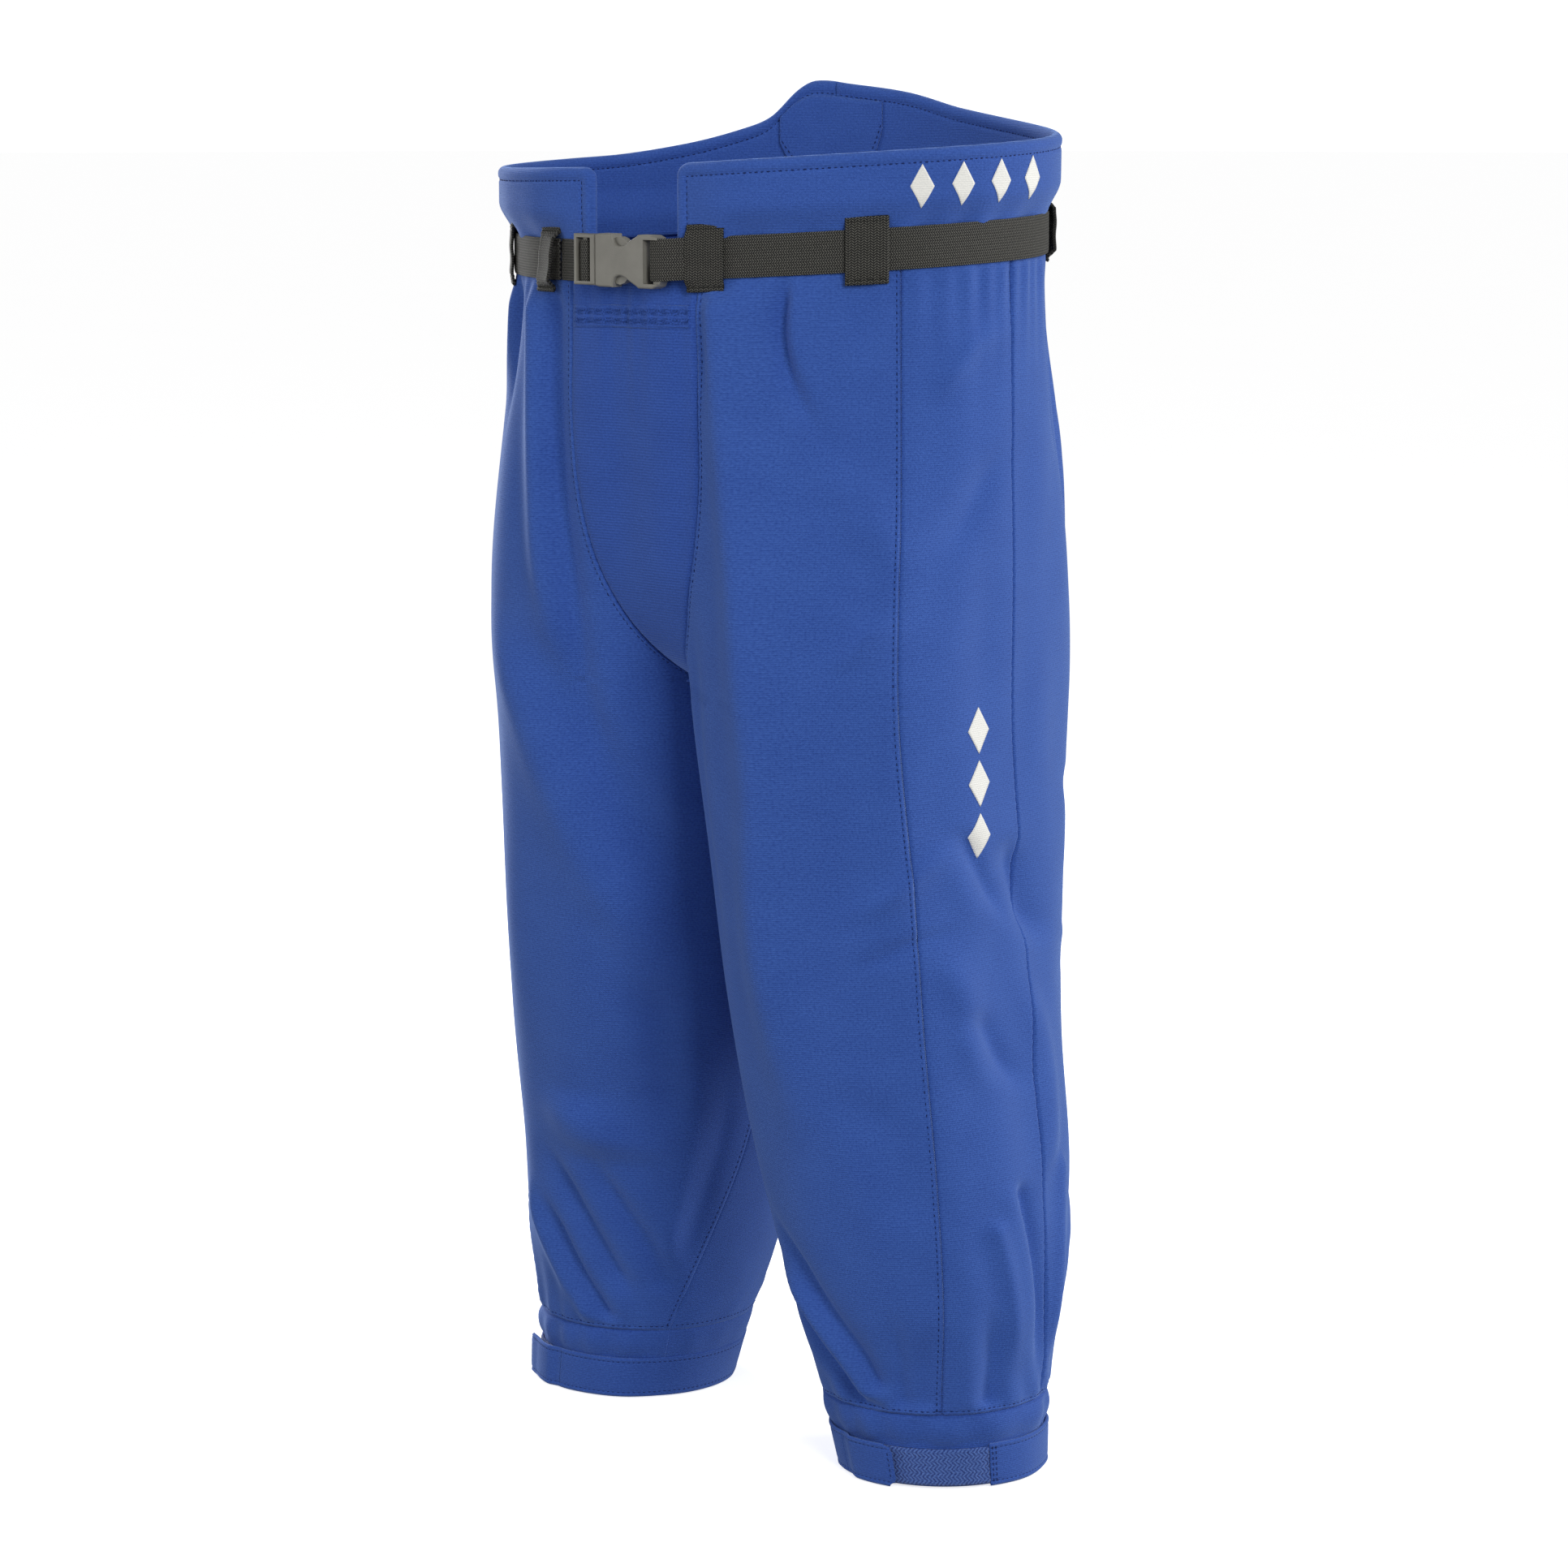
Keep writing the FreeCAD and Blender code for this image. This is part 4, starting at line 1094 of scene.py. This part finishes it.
for name, side in LEGS.items():
    body = name + "_leg"
    top = CUFF_STRAP_HEIGHT
    root, tip, strap_end = TAB_ROOT[side], TAB_TIP[side], STRAP_END[side]

    def band_grow(h, deg):
        arc = np.radians(deg) * CUFF_RADIUS
        puff = 2.4 * np.sin(np.pi * np.clip((h - top) / (HEM - top), 0, 1)) - 0.6 * smooth((top - h) / 6)
        pinch = 0.9 * np.sin(arc / 4.3 + 2 * np.sin(arc / 27) + side) + 0.6 * np.sin(arc / 9 + 2)
        tuck = 2.6 * smooth((h - HEM + 1.6) / 2.4)
        return puff + pinch * smooth((h - top + 2) / 5) * smooth((HEM - h) / 6) - tuck

    points, uv = ring(side, INSEAM[0], INSEAM[0] + 360, 0.8, HEM + 1.0, band_grow, tube_rows(46))
    piece = cloth(f"{name}_cuff_band_cloth", points, uv, 1.8, CUFF_KNIT, side)
    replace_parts(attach(piece, body), f"{name}_cuff_band")

    def strap_grow(h, deg):
        seam_gap = np.mod(deg - INSEAM[0] + 180, 360) - 180
        wave = 0.3 * np.sin(np.radians(deg) * 9)
        return 2.5 + edge_rows(h, 0, top) - 0.8 * bump(seam_gap * CUFF_PER_DEGREE, 1.0) + wave

    points, uv = ring(side, strap_end + 1, root + 358.5, 0, top, strap_grow, tube_rows(top))
    piece = cloth(f"{name}_cuff_strap_cloth", points, uv, 2.0, CUFF_KNIT, side)
    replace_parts(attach(piece, body), f"{name}_cuff_strap")

    def tape_grow(h, deg):
        from_edge = np.minimum(h - 2, top - 2 - h)
        return 1.8 + 0.25 * np.sin(np.radians(deg) * 40) * np.sin(h / 3) - 0.5 * bump(from_edge, 1)

    points, uv = ring(side, root + 8, strap_end + 0.6, 2, top - 2, tape_grow, tube_rows(top - 4))
    piece = cloth(f"{name}_loop_tape_cloth", points, uv, 1.4, LOOP_PILE, side)
    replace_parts(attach(piece, body), f"{name}_cuff_loop_tape")

    def tab_grow(h, deg):
        rise = 2.6 + 3.0 * smooth((deg - root) / 9)
        lifted = 2.6 * smooth((deg - tip + 14) / 14) if side < 0 else 0.8 * smooth((deg - tip + 8) / 8)
        end_gap = (tip - deg) * CUFF_PER_DEGREE
        return rise + lifted + edge_rows(h, 0, top) - 0.7 * bump(end_gap, 0.9) - 0.4 * bump(end_gap - 3, 0.7)

    def tab_end(h):
        return tip - 4.4 * smooth((5 - np.minimum(h, top - h)) / 5)

    points, uv = ring(side, root - 1.2, tab_end, 0, top, tab_grow, tube_rows(top), 1.6)
    piece = cloth(f"{name}_cuff_tab_cloth", points, uv, 2.0, CUFF_KNIT, side)
    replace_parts(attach(piece, f"{name}_tab"), f"{name}_cuff_tab")

    def hook_grow(h, deg):
        return tab_grow(np.full_like(h, top / 2), deg) - 2.1

    points, uv = ring(side, root + 9, tip - 3, 3, top - 3, hook_grow, tube_rows(top - 6))
    piece = cloth(f"{name}_hook_tape_cloth", points, uv, 0.9, HOOK_PILE, side)
    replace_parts(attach(piece, f"{name}_tab"), f"{name}_tab_hook_tape")

    levels = (STITCH_IN, top - STITCH_IN)
    paths = row_stitches(side, strap_end + 1, root + 357, levels, strap_grow)
    upright = np.linspace(2, top - 2, 20)
    for offset in (2.6, 4.6):
        deg = np.full(upright.shape, strap_end + offset)
        paths.append(leg_line(side, upright, deg, strap_grow(np.full(20, top / 2), deg) + 0.1))
    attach(stitches(f"{name}_strap_stitching", paths, BLUE_THREAD, 2.4, 3.4, 0.38), body)
    paths = row_stitches(side, root + 1, tip - 3, levels, tab_grow)
    deg = np.full(upright.shape, tip - 2.6)
    paths.append(leg_line(side, upright[3:-3], deg[3:-3], tab_grow(upright[3:-3], deg[3:-3]) + 0.1))
    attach(stitches(f"{name}_tab_stitching", paths, BLUE_THREAD, 2.4, 3.4, 0.38), f"{name}_tab")


# ---- buckle --------------------------------------------------------------
for node in ("buckle_socket", "buckle_insert", "buckle_prong_upper", "buckle_prong_lower"):
    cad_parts[node].data.materials.clear()
    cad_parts[node].data.materials.append(BUCKLE_PLASTIC)


# ---- studio --------------------------------------------------------------
def studio_material(name, tone, glow):
    made = Nodes(name, 0.9, coordinates="object")
    made.shader.inputs["Emission Color"].default_value = (1, 1, 1, 1)
    made.shader.inputs["Emission Strength"].default_value = glow
    darker = colour(tone - 3, tone - 3, tone - 2)
    made.paint(made.mix(made.noise(0.4, 2.0), colour(tone, tone, tone), darker))
    return made.material


def lamp(name, place, target, size, power):
    light = bpy.data.lights.new(name, "AREA")
    light.shape = "RECTANGLE"
    light.size, light.size_y = size
    light.energy = power
    lamp_object = bpy.data.objects.new(name, light)
    bpy.context.scene.collection.objects.link(lamp_object)
    lamp_object.location = place
    lamp_object.rotation_euler = (Vector(target) - Vector(place)).to_track_quat("-Z", "Y").to_euler()


bpy.ops.mesh.primitive_plane_add(size=60, location=(0, 0, LOWEST - 0.001))
floor = bpy.context.object
floor.name = "studio_floor"
bpy.ops.mesh.primitive_uv_sphere_add(segments=64, ring_count=32, radius=28)
backdrop = bpy.context.object
backdrop.name = "studio_backdrop"
for surface, glow in ((floor, 0.72), (backdrop, 1.0)):
    surface.data.materials.append(studio_material(surface.name + "_paint", 250, glow))
    surface.visible_diffuse = False
    surface.visible_glossy = False
    surface.visible_shadow = False

lamp("key", (3.0, -1.7, 1.2), (0, 0, -0.3), (1.2, 1.6), 62)
lamp("fill", (-2.2, -2.6, 0.5), (0, 0, -0.35), (1.4, 1.8), 24)
lamp("front", (0.6, -3.4, 0.4), (0, 0, -0.4), (1.2, 1.8), 11)
lamp("rim_left", (-2.6, 1.0, 0.2), (0, 0, -0.35), (1.0, 2.8), 66)
lamp("rim_right", (2.0, 2.6, 0.2), (0, 0, -0.35), (1.0, 2.8), 66)

world = bpy.data.worlds.new("studio")
bpy.context.scene.world = world
world.use_nodes = True
world.node_tree.nodes["Background"].inputs["Color"].default_value = (1, 1, 1, 1)
world.node_tree.nodes["Background"].inputs["Strength"].default_value = 0.28

camera_data = bpy.data.cameras.new("camera")
camera = bpy.data.objects.new("camera", camera_data)
bpy.context.scene.collection.objects.link(camera)
camera.location = (1.928, -2.298, 0.145)
camera.rotation_euler = (Vector((0, 0, -0.3365)) - camera.location).to_track_quat("-Z", "Y").to_euler()
camera_data.lens = 111
camera_data.sensor_width = 36
camera_data.dof.use_dof = False
bpy.context.scene.camera = camera
bpy.context.scene.view_settings.view_transform = "Standard"
